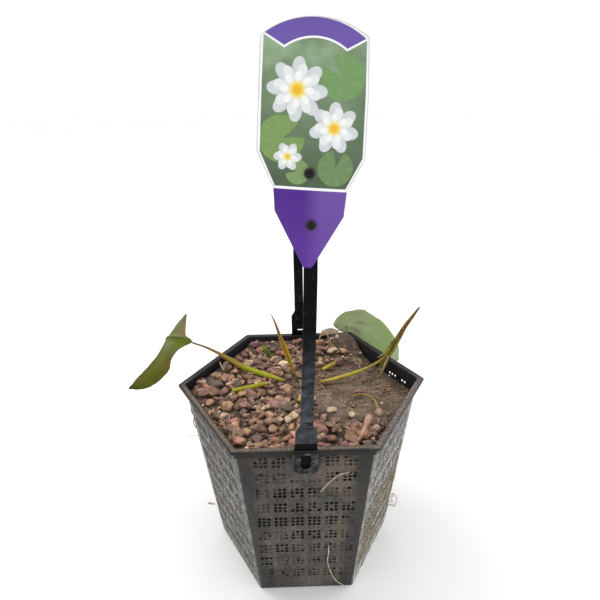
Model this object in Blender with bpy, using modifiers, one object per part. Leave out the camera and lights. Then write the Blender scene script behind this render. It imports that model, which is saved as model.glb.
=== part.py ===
"""A dwarf water lily in a hexagonal lattice basket, with its strap handle and picture card.

The basket stands on z = 0 with its centre on the Z axis. The front is -Y, and two corners
of the hexagon lie on the X axis. Dimensions are millimetres and become metres in each mesh.
"""
import math
import random

import bmesh
import bpy
from mathutils import Matrix, Vector

MM = 0.001
GAP = 0.3            # clearance between neighbouring pieces
SIDES = 6
COS30 = math.cos(math.radians(30))

# Basket: radii run from the centre to a corner
RIM_R = 100.0
RIM_Z = 155.5
FLANGE_T = 1.8
SKIRT_R = 96.0
WALL_TOP_R = 94.0
WALL_TOP_Z = 147.5
WALL_FOOT_R = 74.4
WALL_T = 1.0 / COS30
FLOOR_T = 2.0
WALL_SLOPE = (WALL_TOP_R - WALL_FOOT_R) / WALL_TOP_Z
CORNER_FLAT = 0.6                # how much each corner of the hexagon is blunted

# Lattice: one window for each group of holes
COLUMN_PITCH = 12.35
COLUMNS = 6
ROW_PITCH = 15.2
ROWS = 9
TOP_ROW_Z = 142.0
WINDOW = 9.0
FRONT_WALLS = (90.0, 270.0)      # the walls whose brackets take the strap

# Strap handle
FOOT_Y = 84.5
FOOT_Z = 139.6
CLIP_W = 14.6
CLIP_T = 2.0
CLIP_TOP_Z = 169.7
SHOULDER_Z = 174.3
STRAP_W = 8.2
STRAP_T = 1.7
LEG_Y = 80.0
ARCH_Z = 342.0
ARCH_RISE = 48.0
FRONT_LEAN = 0.0452              # sideways lean of the front leg at its foot, to the right
FRONT_TURN = 261.3               # height above the rim at which that lean would be back at nothing
BACK_FOOT_X = 0.6                # the back clip stands to the right of the middle, and its leg leans left
BACK_LEAN = -0.007
BACK_LIFT = 5.5                  # how much less deep the back clip is pushed in
BACK_SLOT = (5.0, 1.8)           # the slot through the clip at the back: its width and height
BACK_SLOT_X = 1.1
BACK_SLOT_Z = 160.5
LEG_STEPS = 4
ARCH_STEPS = 14

# Brackets under the flange that hold the clips
BRACKET_W = 17.6
BRACKET_FOOT_Z = 136.5
BRACKET_FACE_Y = 87.0
BRACKET_CORNER = 5.5
BRACKET_SLOT = (6.7, 11.0)
BRACKET_SLOT_Z = 146.5

# Picture card, measured from its lower stud
CARD_T = 0.7
CARD_ROLL = math.radians(2.0)
LOWER_STUD_Z = 307.3
STUD_PITCH = 28.5
STUD_LEAN = -0.025               # how far the upper stud stands to the left, as a share of the pitch
CARD_SIDE = ((-2.8, -25.2), (0.4, -25.2), (1.7, -24.2), (18.0, 4.8), (19.1, 19.1), (27.9, 35.6), (27.6, 68.0))
CARD_OTHER_SIDE = ((-28.8, 68.0), (-30.0, 40.0), (-21.0, 20.3), (-20.3, 8.0), (-4.2, -24.2))
CARD_ARCH_X = -0.7
CARD_ARCH_Z = 94.5
CARD_ARCH_HALF = 26.9
CARD_ARCH_RISE = 8.7
STUD_R = 3.0
STUD_SHANK_R = 1.5
STUD_STEPS = 8

# Growing medium
SILT_Z = 141.0
CROWN = (0.0, 16.0)
CROWN_R = 13.0
CROWN_RISE = 1.6
SPOKES_A_SIDE = 3
BED_SPOKES_A_SIDE = 5
BED_RINGS = 4
BED_INNER_R = 15.0
BED_LOW_Z = 144.2
BED_HIGH_Z = 147.2
BED_LUMP = 0.9
BED_SPAN = (36.0, 318.0)         # bearings from the crown between which gravel lies
HEAPS = ((90.0, 6.0), (150.0, 3.5))  # the walls that the gravel is heaped against, and how much
HEAP_REACH = 22.0

# Stones that show best: x, y, length, width, height, turn in degrees, colour
STONES = (
    (-59, -20, 15, 12, 9, 70, "tan"), (-71, 11, 16, 13, 9, 20, "slate"), (-60, 23, 9, 8, 6, 0, "pink"),
    (-50, 16, 9, 8, 6, 40, "pink"), (-63, 3, 11, 8, 6, 80, "rust"), (-32, -9, 6, 5, 5, 90, "cream"),
    (-18, -9, 12, 10, 6, 10, "tan"), (-28, -21, 11, 7, 6, 20, "cream"), (-26, -32, 13, 9, 6, 150, "tan"),
    (-12, -39, 9, 8, 8, 60, "cream"), (-3, -28, 9, 8, 6, 30, "pink"), (-38, -40, 12, 7, 6, 30, "pink"),
    (-46, -28, 11, 8, 6, 75, "slate"), (-51, -40, 10, 8, 6, 15, "pink"), (-42, -54, 10, 9, 7, 45, "tan"),
    (-34, -63, 13, 10, 7, 100, "plum"), (-21, -65, 11, 8, 7, 160, "rust"), (-23, -50, 10, 9, 7, 60, "tan"),
    (-73, -15, 11, 8, 6, 60, "pink"), (-65, -34, 11, 8, 7, 120, "slate"), (22, -27, 12, 8, 6, 0, "cream"),
    (37, -35, 8, 7, 6, 60, "cream"), (50, -41, 10, 7, 7, 110, "pink"), (19, -64, 12, 8, 6, 0, "rust"),
    (35, 63, 9, 8, 6, 30, "pink"), (18, 46, 8, 7, 6, 120, "cream"), (-37, 67, 11, 10, 8, 60, "rust"),
    (-24, 68, 10, 9, 8, 20, "plum"), (-22, 56, 12, 9, 6, 0, "tan"), (-50, 57, 10, 9, 7, 150, "plum"),
)
STONE_POINTS = 10
STONE_SINK = 0.42                # share of its height that a stone is bedded

# Plant: each stalk is its route and radii, each rolled leaf its route and half widths
STALK_LEFT = ((-12.4, 15.2, 146.5), (-28.2, 22.3, 148.2), (-47.4, 30.9, 151.0), (-63.3, 38.1, 157.0),
              (-72.2, 42.1, 160.6), (-84.5, 47.6, 164.2), (-93.6, 51.6, 165.5))
STALK_LEFT_R = (1.7, 2.8, 2.9, 2.6, 1.6, 1.0, 0.8)
STALK_RIGHT = ((15.7, 16.9, 143.6), (28.8, 20.0, 144.8), (39.5, 22.0, 146.6), (50.0, 24.0, 149.1),
               (58.7, 25.3, 152.3), (66.0, 26.3, 156.0))
STALK_RIGHT_R = (1.5, 1.8, 1.8, 1.6, 1.4, 1.2)
STALK_SHORT = ((-56.4, -1.4, 149.2), (-48.0, 1.2, 149.2), (-40.8, 3.8, 149.2), (-32.0, 8.0, 148.8),
               (-26.5, 10.6, 147.4))
STALK_SHORT_R = (2.0, 2.1, 2.0, 1.7, 1.0)
STALK_ROUND = ((44.2, 70.5, 152.0), (44.6, 75.0, 155.4), (45.0, 79.5, 157.5), (45.6, 85.0, 158.4),
               (46.0, 90.5, 160.0))
STALK_ROUND_R = (1.2, 1.2, 1.1, 1.0, 0.9)
STUB_BACK = ((18.9, 36.1, 144.5), (24.9, 38.7, 146.1), (31.2, 41.4, 148.1))
STUB_BACK_R = (1.1, 1.8, 1.9)
STUB_FRONT = ((-2.9, -17.4, 147.6), (-2.3, -14.5, 148.6), (-1.7, -11.5, 150.4))
STUB_FRONT_R = (1.5, 1.3, 0.5)
LEAF_CENTRE = ((-2.4, 15.0, 144.6), (-5.2, 16.0, 152.9), (-8.3, 17.0, 161.1), (-12.2, 19.0, 172.4),
               (-16.5, 21.0, 184.6), (-19.9, 22.5, 195.9), (-23.5, 24.0, 205.0))
LEAF_CENTRE_W = (0.7, 0.9, 1.5, 2.4, 1.6, 0.9, 0.3)
LEAF_RIGHT = ((65.6, 27.0, 146.3), (69.2, 27.0, 151.9), (72.6, 27.2, 158.3), (75.0, 27.6, 163.8),
              (79.0, 28.5, 170.4), (84.0, 30.0, 178.5), (89.0, 32.0, 186.9), (94.9, 34.0, 194.7),
              (101.2, 36.0, 202.9))
LEAF_RIGHT_W = (0.6, 1.4, 2.2, 3.3, 3.3, 2.5, 2.0, 1.5, 0.6)
SHOOT = ((-28.0, 58.0, 147.6), (-30.0, 60.0, 150.5), (-32.0, 61.5, 153.5), (-34.5, 62.5, 156.0))
SHOOT_W = (1.0, 2.0, 1.6, 0.3)

# Leaf blades: rows of points from edge to edge
LEAF_T = 0.8
LEAF_LEFT = (
    ((-153.4, 38.0, 129.3), (-152.9, 37.3, 129.2), (-152.4, 36.6, 129.3)),
    ((-145.9, 40.0, 137.6), (-143.5, 35.5, 133.6), (-140.5, 35.5, 129.9)),
    ((-134.4, 42.0, 148.8), (-131.8, 35.0, 141.8), (-129.0, 36.0, 134.4)),
    ((-125.7, 44.0, 158.7), (-120.9, 37.0, 152.9), (-116.4, 38.0, 146.1)),
    ((-120.5, 46.0, 166.8), (-116.4, 41.0, 161.9), (-113.6, 42.0, 155.3)),
    ((-118.6, 48.0, 170.0), (-112.6, 44.5, 167.4), (-107.1, 45.5, 163.1)),
    ((-117.6, 50.5, 173.0), (-107.4, 47.0, 173.0), (-95.7, 49.6, 168.3)),
    ((-115.6, 54.6, 173.6), (-108.4, 54.0, 173.8), (-101.0, 54.0, 173.0)),
    ((-108.5, 57.0, 182.6), (-104.6, 55.6, 183.4), (-100.2, 56.0, 183.8)),
    ((-100.4, 58.0, 191.2), (-99.8, 57.9, 191.9), (-99.1, 58.0, 191.9)),
)
LEAF_ROUND = (
    ((33.2, 88.2, 163.4), (33.5, 88.2, 162.4), (34.5, 88.3, 160.6)),
    ((38.0, 94.0, 168.0), (38.6, 91.5, 162.5), (39.7, 88.8, 155.7)),
    ((44.7, 98.3, 171.4), (45.2, 94.8, 163.4), (45.0, 89.0, 153.5)),
    ((53.0, 100.1, 172.1), (51.8, 96.4, 162.4), (50.9, 89.6, 151.7)),
    ((63.4, 100.2, 172.6), (60.2, 94.6, 160.4), (56.6, 88.6, 148.1)),
    ((72.3, 96.2, 168.2), (66.8, 89.6, 157.2), (60.8, 82.0, 146.7)),
    ((81.9, 90.5, 162.6), (74.5, 82.0, 153.8), (65.2, 74.4, 145.7)),
    ((91.1, 80.6, 152.2), (81.6, 73.8, 146.8), (70.6, 67.4, 142.6)),
    ((94.1, 72.6, 144.6), (86.2, 66.6, 141.4), (77.4, 61.6, 139.0)),
    ((92.8, 63.6, 136.4), (89.0, 61.4, 136.2), (85.0, 59.8, 136.2)),
)
DEAD_LEAF_BACK = (
    ((17.4, 70.4, 150.8), (17.9, 71.0, 151.0), (18.5, 71.7, 151.2)),
    ((18.3, 72.6, 153.2), (18.8, 74.6, 153.8), (19.5, 76.6, 154.4)),
    ((19.6, 74.6, 155.8), (20.2, 76.6, 158.0), (21.2, 79.0, 159.4)),
    ((23.2, 76.0, 157.9), (23.0, 78.5, 160.2), (23.6, 81.0, 161.1)),
    ((30.1, 79.0, 157.0), (30.1, 82.0, 159.5), (30.3, 85.0, 161.0)),
    ((37.4, 83.0, 156.4), (38.0, 85.0, 156.8), (38.9, 87.0, 156.8)),
)
DEAD_LEAF_FRONT = (
    ((46.4, -42.2, 149.8), (48.3, -46.9, 152.5), (51.5, -46.3, 149.5)),
    ((43.0, -52.8, 149.2), (44.4, -56.0, 152.0), (46.9, -55.1, 149.2)),
    ((38.5, -63.8, 149.0), (40.6, -65.6, 151.6), (43.5, -63.3, 149.0)),
    ((35.4, -70.1, 149.0), (36.7, -70.8, 150.2), (38.5, -69.8, 149.0)),
)
DEAD_LEAF_T = 0.7
DRY_STALK = ((40.5, -5.9, 143.4), (47.3, -5.4, 144.6), (53.0, -8.6, 145.0), (56.8, -16.5, 145.0),
             (59.6, -26.0, 143.6))
DRY_STALK_R = (0.8, 0.9, 1.0, 1.0, 0.9)

# Roots that came out through the lattice
ROOT_R = 0.45
ROOT_UPPER = ((10.3, -79.2, 113.8), (13.9, -79.9, 119.4), (18.6, -80.7, 125.7), (23.9, -81.3, 130.6),
              (30.5, -81.6, 132.8))
ROOT_LOWER = ((17.3, -72.4, 55.2), (17.1, -71.4, 45.7), (16.5, -70.2, 35.9), (18.2, -69.1, 25.7),
              (20.8, -68.0, 16.6), (24.6, -67.2, 9.1), (31.3, -66.3, 2.3))
ROOT_RIGHT = ((79.8, -1.0, 23.6), (82.6, -1.4, 21.6), (85.2, 0.0, 27.4), (83.4, 1.0, 32.6), (80.0, 0.6, 33.2))
ROOT_LEFT = ((-80.2, 1.6, 27.6), (-83.4, 2.2, 27.6), (-86.5, 2.0, 28.6))

COLOURS = {
    "plastic": (0.020, 0.021, 0.023), "card": (0.16, 0.28, 0.10), "silt": (0.13, 0.095, 0.065),
    "gravel": (0.26, 0.17, 0.12), "leaf_green": (0.14, 0.21, 0.035), "leaf_pale": (0.25, 0.36, 0.16),
    "leaf_ochre": (0.30, 0.20, 0.045), "stalk": (0.36, 0.34, 0.045), "stalk_dry": (0.30, 0.22, 0.10),
    "dead": (0.26, 0.17, 0.11), "root": (0.42, 0.30, 0.16), "tan": (0.40, 0.28, 0.19),
    "slate": (0.16, 0.12, 0.09), "pink": (0.42, 0.25, 0.20), "rust": (0.38, 0.18, 0.11),
    "cream": (0.68, 0.52, 0.36), "plum": (0.18, 0.11, 0.11),
}
GLOSSY = {"plastic": 0.42, "card": 0.3}
ROUGH = 0.75


def clear_scene():
    for thing in list(bpy.data.objects):
        bpy.data.objects.remove(thing, do_unlink=True)


def new_collection(name):
    made = bpy.data.collections.new(name)
    bpy.context.scene.collection.children.link(made)
    return made


def material(name):
    made = bpy.data.materials.get(name)
    if made is None:
        made = bpy.data.materials.new(name)
        made.use_nodes = True
        shader = made.node_tree.nodes["Principled BSDF"]
        shader.inputs["Base Color"].default_value = (*COLOURS[name], 1.0)
        shader.inputs["Roughness"].default_value = GLOSSY.get(name, ROUGH)
        shader.inputs["Metallic"].default_value = 0.0
    return made


def add_object(name, mesh, colour=None):
    """An object of the part where a colour is given, and otherwise a hidden cutter."""
    thing = bpy.data.objects.new(name, mesh)
    if colour:
        PART.objects.link(thing)
        mesh.materials.clear()
        mesh.materials.append(material(colour))
    else:
        CUTTERS.objects.link(thing)
        thing.hide_render = True
        thing.display_type = "WIRE"
    return thing


def mesh_from(bm, name):
    """A metre mesh from a bmesh in millimetres, with its faces pointing out."""
    bmesh.ops.scale(bm, vec=(MM, MM, MM), verts=bm.verts)
    bmesh.ops.recalc_face_normals(bm, faces=bm.faces)
    mesh = bpy.data.meshes.new(name)
    bm.to_mesh(mesh)
    bm.free()
    return mesh


def combine(target, tool, operation):
    step = target.modifiers.new(tool.name, "BOOLEAN")
    step.operation = operation
    step.object = tool
    return step


def box_into(bm, size, place):
    bmesh.ops.create_cube(bm, size=1.0, matrix=place @ Matrix.Diagonal((*size, 1.0)))


def tube(name, route, radii, colour):
    """A round stalk or root: a bevelled curve, made a mesh with its caps welded."""
    curve = bpy.data.curves.new(name + "_route", "CURVE")
    curve.dimensions = "3D"
    curve.bevel_depth = MM
    curve.bevel_resolution = 1 if max(radii) > ROOT_R else 0
    curve.use_fill_caps = True
    spline = curve.splines.new("POLY")
    spline.points.add(len(route) - 1)
    for point, place, radius in zip(spline.points, route, radii):
        point.co = (*(Vector(place) * MM), 1.0)
        point.radius = radius
    guide = bpy.data.objects.new(name + "_route", curve)
    CUTTERS.objects.link(guide)
    bpy.context.view_layer.update()
    mesh = bpy.data.meshes.new_from_object(guide.evaluated_get(bpy.context.evaluated_depsgraph_get()))
    bpy.data.objects.remove(guide, do_unlink=True)
    bm = bmesh.new()
    bm.from_mesh(mesh)
    bmesh.ops.remove_doubles(bm, verts=bm.verts, dist=0.00001)
    bmesh.ops.recalc_face_normals(bm, faces=bm.faces)
    bm.to_mesh(mesh)
    bm.free()
    mesh.shade_smooth()
    return add_object(name, mesh, colour)


def loft(name, rings, colour):
    """A closed body through rings of equal length, with flat ends."""
    bm = bmesh.new()
    loops = [[bm.verts.new(p) for p in ring] for ring in rings]
    for low, high in zip(loops, loops[1:]):
        for k in range(len(low)):
            m = (k + 1) % len(low)
            bm.faces.new((low[k], low[m], high[m], high[k]))
    bm.faces.new(loops[0])
    bm.faces.new(loops[-1])
    return add_object(name, mesh_from(bm, name), colour)


def rolled_leaf(name, route, widths, colour):
    """A young leaf with both edges rolled in: two scrolls with a groove between them."""
    section = ((1.0, 0.0), (0.75, 0.55), (0.0, 0.2), (-0.75, 0.55), (-1.0, 0.0), (-0.6, -0.6), (0.6, -0.6))
    points = [Vector(p) for p in route]
    rings = []
    for k, (place, width) in enumerate(zip(points, widths)):
        along = (points[min(k + 1, len(points) - 1)] - points[max(k - 1, 0)]).normalized()
        across = along.cross(Vector((0, -1, 0))).normalized()
        front = across.cross(along)
        rings.append([place + width * (u * across + v * front) for u, v in section])
    leaf = loft(name, rings, colour)
    leaf.data.shade_smooth()
    return leaf


def sheet(name, rows, thickness, colour):
    """A leaf blade: an open grid thickened by Solidify."""
    bm = bmesh.new()
    grid = [[bm.verts.new(p) for p in row] for row in rows]
    for low, high in zip(grid, grid[1:]):
        for k in range(len(low) - 1):
            bm.faces.new((low[k], low[k + 1], high[k + 1], high[k]))
    blade = add_object(name, mesh_from(bm, name), colour)
    blade.data.shade_smooth()
    skin = blade.modifiers.new("thickness", "SOLIDIFY")
    skin.thickness = thickness * MM
    skin.offset = 0.0
    return blade


def turned(name, profile, steps, colour, place):
    """A profile of radius and height turned round the Z axis, from the axis and back to it."""
    mesh = bpy.data.meshes.new(name)
    edges = [(k, k + 1) for k in range(len(profile) - 1)]
    mesh.from_pydata([(r * MM, 0, z * MM) for r, z in profile], edges, [])
    body = add_object(name, mesh, colour)
    body.matrix_world = place
    turn = body.modifiers.new("turn", "SCREW")
    turn.steps = steps
    turn.render_steps = steps
    turn.use_merge_vertices = True
    turn.merge_threshold = 0.00001
    turn.use_smooth_shade = False
    return body


def outline_plate(name, outline, thickness, place, colour=None):
    """A flat outline given thickness, as a filled 2D curve made a mesh with its caps welded."""
    curve = bpy.data.curves.new(name + "_outline", "CURVE")
    curve.dimensions = "2D"
    curve.fill_mode = "BOTH"
    curve.extrude = thickness / 2 * MM
    spline = curve.splines.new("POLY")
    spline.points.add(len(outline) - 1)
    for point, (u, v) in zip(spline.points, outline):
        point.co = (u * MM, v * MM, 0.0, 1.0)
    spline.use_cyclic_u = True
    guide = bpy.data.objects.new(name + "_outline", curve)
    CUTTERS.objects.link(guide)
    bpy.context.view_layer.update()
    mesh = bpy.data.meshes.new_from_object(guide.evaluated_get(bpy.context.evaluated_depsgraph_get()))
    bpy.data.objects.remove(guide, do_unlink=True)
    bm = bmesh.new()
    bm.from_mesh(mesh)
    bmesh.ops.remove_doubles(bm, verts=bm.verts, dist=0.00001)
    bmesh.ops.transform(bm, matrix=place, verts=bm.verts)
    bmesh.ops.recalc_face_normals(bm, faces=bm.faces)
    bm.to_mesh(mesh)
    bm.free()
    return add_object(name, mesh, colour)


def upright(x, y, z, roll=0.0):
    """Turns an XY outline to stand in the XZ plane at a place, facing the front, in metres."""
    return (Matrix.Translation(Vector((x, y, z)) * MM) @ Matrix.Rotation(roll, 4, "Y")
            @ Matrix.Rotation(math.radians(90), 4, "X"))


def wall_radius(z):
    """Corner radius of the wall's outer face at a height."""
    return WALL_FOOT_R + WALL_SLOPE * z


def wall_windows():
    """One box through the wall for each group of holes, except where a bracket covers the wall."""
    tilt = math.atan(WALL_SLOPE * COS30)
    bm = bmesh.new()
    for wall in range(SIDES):
        bearing = 30.0 + 60.0 * wall
        for row in range(ROWS):
            z = TOP_ROW_Z - ROW_PITCH * row
            for column in range(COLUMNS):
                across = (column - (COLUMNS - 1) / 2) * COLUMN_PITCH
                if bearing in FRONT_WALLS and row < 2 and abs(across) < COLUMN_PITCH:
                    continue
                place = (Matrix.Rotation(math.radians(bearing), 4, "Z")
                         @ Matrix.Translation((wall_radius(z) * COS30 - WALL_T * COS30 / 2, across, z))
                         @ Matrix.Rotation(tilt, 4, "Y"))
                box_into(bm, (WALL_T * 2, WINDOW, WINDOW), place)
    return add_object("cut_windows", mesh_from(bm, "cut_windows"))


def bracket(side):
    """The U shaped plate under the flange at the front (-1) or back (+1)."""
    half = BRACKET_W / 2
    top = RIM_Z - FLANGE_T / 2
    outline = [(-half, top)]
    for k in range(4):
        a = math.radians(30 * k)
        outline.append((-half + BRACKET_CORNER * (1 - math.cos(a)),
                        BRACKET_FOOT_Z + BRACKET_CORNER * (1 - math.sin(a))))
    outline += [(-u, v) for u, v in reversed(outline)]
    inner = wall_radius(BRACKET_FOOT_Z) * COS30 - WALL_T / 2
    middle = side * (BRACKET_FACE_Y + inner) / 2
    name = "add_bracket_front" if side < 0 else "add_bracket_back"
    place = upright(strap_x(side * FOOT_Y, FOOT_Z), middle, 0.0)
    return outline_plate(name, outline, BRACKET_FACE_Y - inner, place)


def clip_pockets():
    """The slots through the flange and down the brackets, with the window in each bracket's face."""
    bm = bmesh.new()
    depth = RIM_Z + 2.0 - (FOOT_Z - 2 * GAP)
    middle = (RIM_Z + 2.0 + FOOT_Z - 2 * GAP) / 2
    size = (CLIP_W + 2.2 * GAP, CLIP_T + 2.2 * GAP, depth)
    for side in (-1, 1):
        box_into(bm, size, Matrix.Translation((strap_x(side * FOOT_Y, FOOT_Z), side * FOOT_Y, middle)))
    return add_object("cut_clip_slots", mesh_from(bm, "cut_clip_slots"))


def bracket_windows():
    bm = bmesh.new()
    size = (BRACKET_SLOT[0], 3.0, BRACKET_SLOT[1])
    for side in (-1, 1):
        place = (strap_x(side * FOOT_Y, FOOT_Z), side * (BRACKET_FACE_Y + GAP), BRACKET_SLOT_Z)
        box_into(bm, size, Matrix.Translation(place))
    return add_object("cut_bracket_windows", mesh_from(bm, "cut_bracket_windows"))


def corner_flats(outside):
    """A hexagon turned by half a side, whose faces take a little off each corner of the basket."""
    reach = [((r - CORNER_FLAT) / COS30, z) for r, z in outside]
    profile = ((0, RIM_Z + 1.0), (reach[0][0], RIM_Z + 1.0), *reach[1:-1],
               (reach[-1][0] - WALL_SLOPE, -1.0), (0, -1.0))
    return turned("keep_corners", profile, SIDES, None, Matrix.Rotation(math.radians(30), 4, "Z"))


def basket():
    inner_top = wall_radius(RIM_Z) - WALL_T
    inner_foot = wall_radius(FLOOR_T) - WALL_T
    outside = ((RIM_R, RIM_Z), (RIM_R, RIM_Z - FLANGE_T), (SKIRT_R, RIM_Z - FLANGE_T), (SKIRT_R, WALL_TOP_Z),
               (WALL_TOP_R, WALL_TOP_Z), (WALL_FOOT_R, 0))
    profile = ((0, FLOOR_T), (inner_foot, FLOOR_T), (inner_top, RIM_Z), *outside, (0, 0))
    body = turned("basket", profile, SIDES, "plastic", Matrix.Identity(4))
    combine(body, corner_flats(outside), "INTERSECT")
    combine(body, bracket(-1), "UNION")
    combine(body, bracket(1), "UNION")
    combine(body, clip_pockets(), "DIFFERENCE")
    combine(body, bracket_windows(), "DIFFERENCE")
    combine(body, wall_windows(), "DIFFERENCE")


def strap_x(y, z):
    """How far to the right the hoop stands at a place, as each leg leans in its own way."""
    rise = max(z - RIM_Z, 0.0)
    front = FRONT_LEAN * rise * (1 - (rise / FRONT_TURN) ** 2)
    back = BACK_FOOT_X + BACK_LEAN * rise
    share = 0.5 + y / (2 * FOOT_Y)
    return front * (1 - share) + back * share


def half_hoop(side, lift):
    """The hoop from its front (-1) or back (+1) foot to the crown of its arch: y, z, width, thickness."""
    foot = ((FOOT_Z, CLIP_W * 0.6, CLIP_T), (FOOT_Z + 3.0, CLIP_W, CLIP_T), (CLIP_TOP_Z, CLIP_W, CLIP_T),
            (SHOULDER_Z, STRAP_W, STRAP_T))
    route = [(side * FOOT_Y, z + lift, width, thick) for z, width, thick in foot]
    for k in range(1, LEG_STEPS + 1):
        s = k / LEG_STEPS
        y = LEG_Y + (FOOT_Y - LEG_Y) * (1 - s) ** 4
        shoulder = SHOULDER_Z + lift
        route.append((side * y, shoulder + (ARCH_Z - shoulder) * s, STRAP_W, STRAP_T))
    for k in range(1, ARCH_STEPS // 2 + 1):
        a = math.pi * k / ARCH_STEPS
        route.append((side * LEG_Y * math.cos(a), ARCH_Z + ARCH_RISE * math.sin(a), STRAP_W, STRAP_T))
    return route


def handle_strap():
    route = half_hoop(-1, 0.0) + half_hoop(1, BACK_LIFT)[-2::-1]
    rings = []
    for k, (y, z, width, thick) in enumerate(route):
        before = route[max(k - 1, 0)]
        after = route[min(k + 1, len(route) - 1)]
        along = Vector((0, after[0] - before[0], after[1] - before[1])).normalized()
        if min(k, len(route) - 1 - k) < 4:
            along = Vector((0, 0, 1 if y < 0 else -1))
        out = Vector((0, -along.z, along.y)) * thick / 2
        centre = Vector((strap_x(y, z), y, z))
        side = Vector((width / 2, 0, 0))
        rings.append([centre - side + out, centre + side + out, centre + side - out, centre - side - out])
    strap = loft("handle_strap", rings, "plastic")
    combine(strap, stud_holes(), "DIFFERENCE")
    slot = bmesh.new()
    place = Matrix.Translation((BACK_SLOT_X, FOOT_Y, BACK_SLOT_Z))
    box_into(slot, (BACK_SLOT[0], 3 * CLIP_T, BACK_SLOT[1]), place)
    combine(strap, add_object("cut_clip_slot", mesh_from(slot, "cut_clip_slot")), "DIFFERENCE")


def stud_places():
    """The centres of the two studs on the strap's front face."""
    low = Vector((strap_x(-FOOT_Y, LOWER_STUD_Z), -LEG_Y - STRAP_T / 2, LOWER_STUD_Z))
    high = low + STUD_PITCH * Vector((STUD_LEAN, 0, 1))
    return low, high


def stud_holes():
    holes = [h for h in CUTTERS.objects if h.name == "cut_stud_holes"]
    if holes:
        return holes[0]
    bm = bmesh.new()
    for place in stud_places():
        turn = Matrix.Translation(place) @ Matrix.Rotation(math.radians(90), 4, "X")
        bmesh.ops.create_cone(bm, cap_ends=True, segments=STUD_STEPS, radius1=STUD_SHANK_R + GAP,
                              radius2=STUD_SHANK_R + GAP, depth=12.0, matrix=turn)
    return add_object("cut_stud_holes", mesh_from(bm, "cut_stud_holes"))


def label_card():
    """A stiff card with an arched top and a pointed foot, held to the strap by two studs."""
    arch_r = (CARD_ARCH_HALF ** 2 + CARD_ARCH_RISE ** 2) / (2 * CARD_ARCH_RISE)
    sweep = math.asin(CARD_ARCH_HALF / arch_r)
    arch = []
    for k in range(11):
        a = sweep * (1 - k / 5)
        arch.append((CARD_ARCH_X + arch_r * math.sin(a),
                     CARD_ARCH_Z + CARD_ARCH_RISE - arch_r * (1 - math.cos(a))))
    outline = list(CARD_SIDE) + arch + list(CARD_OTHER_SIDE)
    low = stud_places()[0]
    place = upright(low.x, low.y - GAP - CARD_T / 2, low.z, CARD_ROLL)
    card = outline_plate("label_card", outline, CARD_T, place, "card")
    combine(card, stud_holes(), "DIFFERENCE")


def label_studs():
    """Push-through studs: a domed head, a shank and a smaller head behind the strap."""
    grip = CARD_T + STRAP_T + 3 * GAP
    back = STUD_R * 0.85
    profile = ((0, -grip - 1.2), (back, -grip - 1.0), (back, -grip), (STUD_SHANK_R, -grip),
               (STUD_SHANK_R, 0.0), (STUD_R, 0.0), (STUD_R * 0.9, 1.0), (STUD_R * 0.55, 1.7), (0, 2.0))
    for name, place in zip(("label_stud_lower", "label_stud_upper"), stud_places()):
        head = Vector((place.x, place.y - 2 * GAP - CARD_T, place.z))
        turn = Matrix.Translation(head * MM) @ Matrix.Rotation(math.radians(90), 4, "X")
        turned(name, tuple(reversed(profile)), STUD_STEPS, "plastic", turn)


def inner_radius(z):
    """Corner radius of the space inside the wall, with clearance."""
    return wall_radius(z) - WALL_T - GAP / COS30


def boundary(z, parts, shrink=0.0):
    """Points round the inside of the hexagon, parts to each side."""
    angles = [math.radians(60 * k) for k in range(SIDES)]
    corners = [Vector((math.cos(a), math.sin(a), 0)) for a in angles]
    ring = []
    for k in range(SIDES):
        for m in range(parts):
            ring.append(corners[k].lerp(corners[(k + 1) % SIDES], m / parts) * (inner_radius(z) - shrink))
    return ring


def silt_height(x, y):
    """The mud stands a little higher at the crown and lies lower along the right-hand wall."""
    away = math.hypot(x - CROWN[0], y - CROWN[1])
    mound = CROWN_RISE * max(0.0, 1 - (away / CROWN_R) ** 2)
    low = -1.2 * min(1.0, max(0.0, (x - 25.0) / 40.0))
    return SILT_Z + mound + low


def heap(x, y):
    """How much higher the gravel lies at a place because it is heaped against the back walls."""
    rise = 0.0
    for bearing, high in HEAPS:
        a = math.radians(bearing)
        away = inner_radius(SILT_Z) * COS30 - (x * math.cos(a) + y * math.sin(a))
        rise = max(rise, high * max(0.0, 1 - max(away, 0.0) / HEAP_REACH) ** 1.5)
    return rise


def silt():
    """The mud that fills the basket to a little below the rim."""
    crown = Vector((*CROWN, 0))
    edge = boundary(SILT_Z - 1.5, SPOKES_A_SIDE)
    foot = boundary(FLOOR_T + GAP, SPOKES_A_SIDE)
    bm = bmesh.new()
    centre = bm.verts.new((*CROWN, silt_height(*CROWN)))
    rings = []
    for away in (CROWN_R / 2, CROWN_R, 45.0, 200.0):
        ring = []
        for p in edge:
            q = crown + (p - crown) * min(1.0, away / (p - crown).length)
            ring.append(bm.verts.new((q.x, q.y, silt_height(q.x, q.y))))
        rings.append(ring)
    rings.append([bm.verts.new((p.x, p.y, FLOOR_T + GAP)) for p in foot])
    count = len(edge)
    for k in range(count):
        m = (k + 1) % count
        bm.faces.new((centre, rings[0][k], rings[0][m]))
        for high, low in zip(rings, rings[1:]):
            bm.faces.new((high[k], low[k], low[m], high[m]))
    bm.faces.new(rings[-1])
    return add_object("silt", mesh_from(bm, "silt"), "silt")


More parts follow.
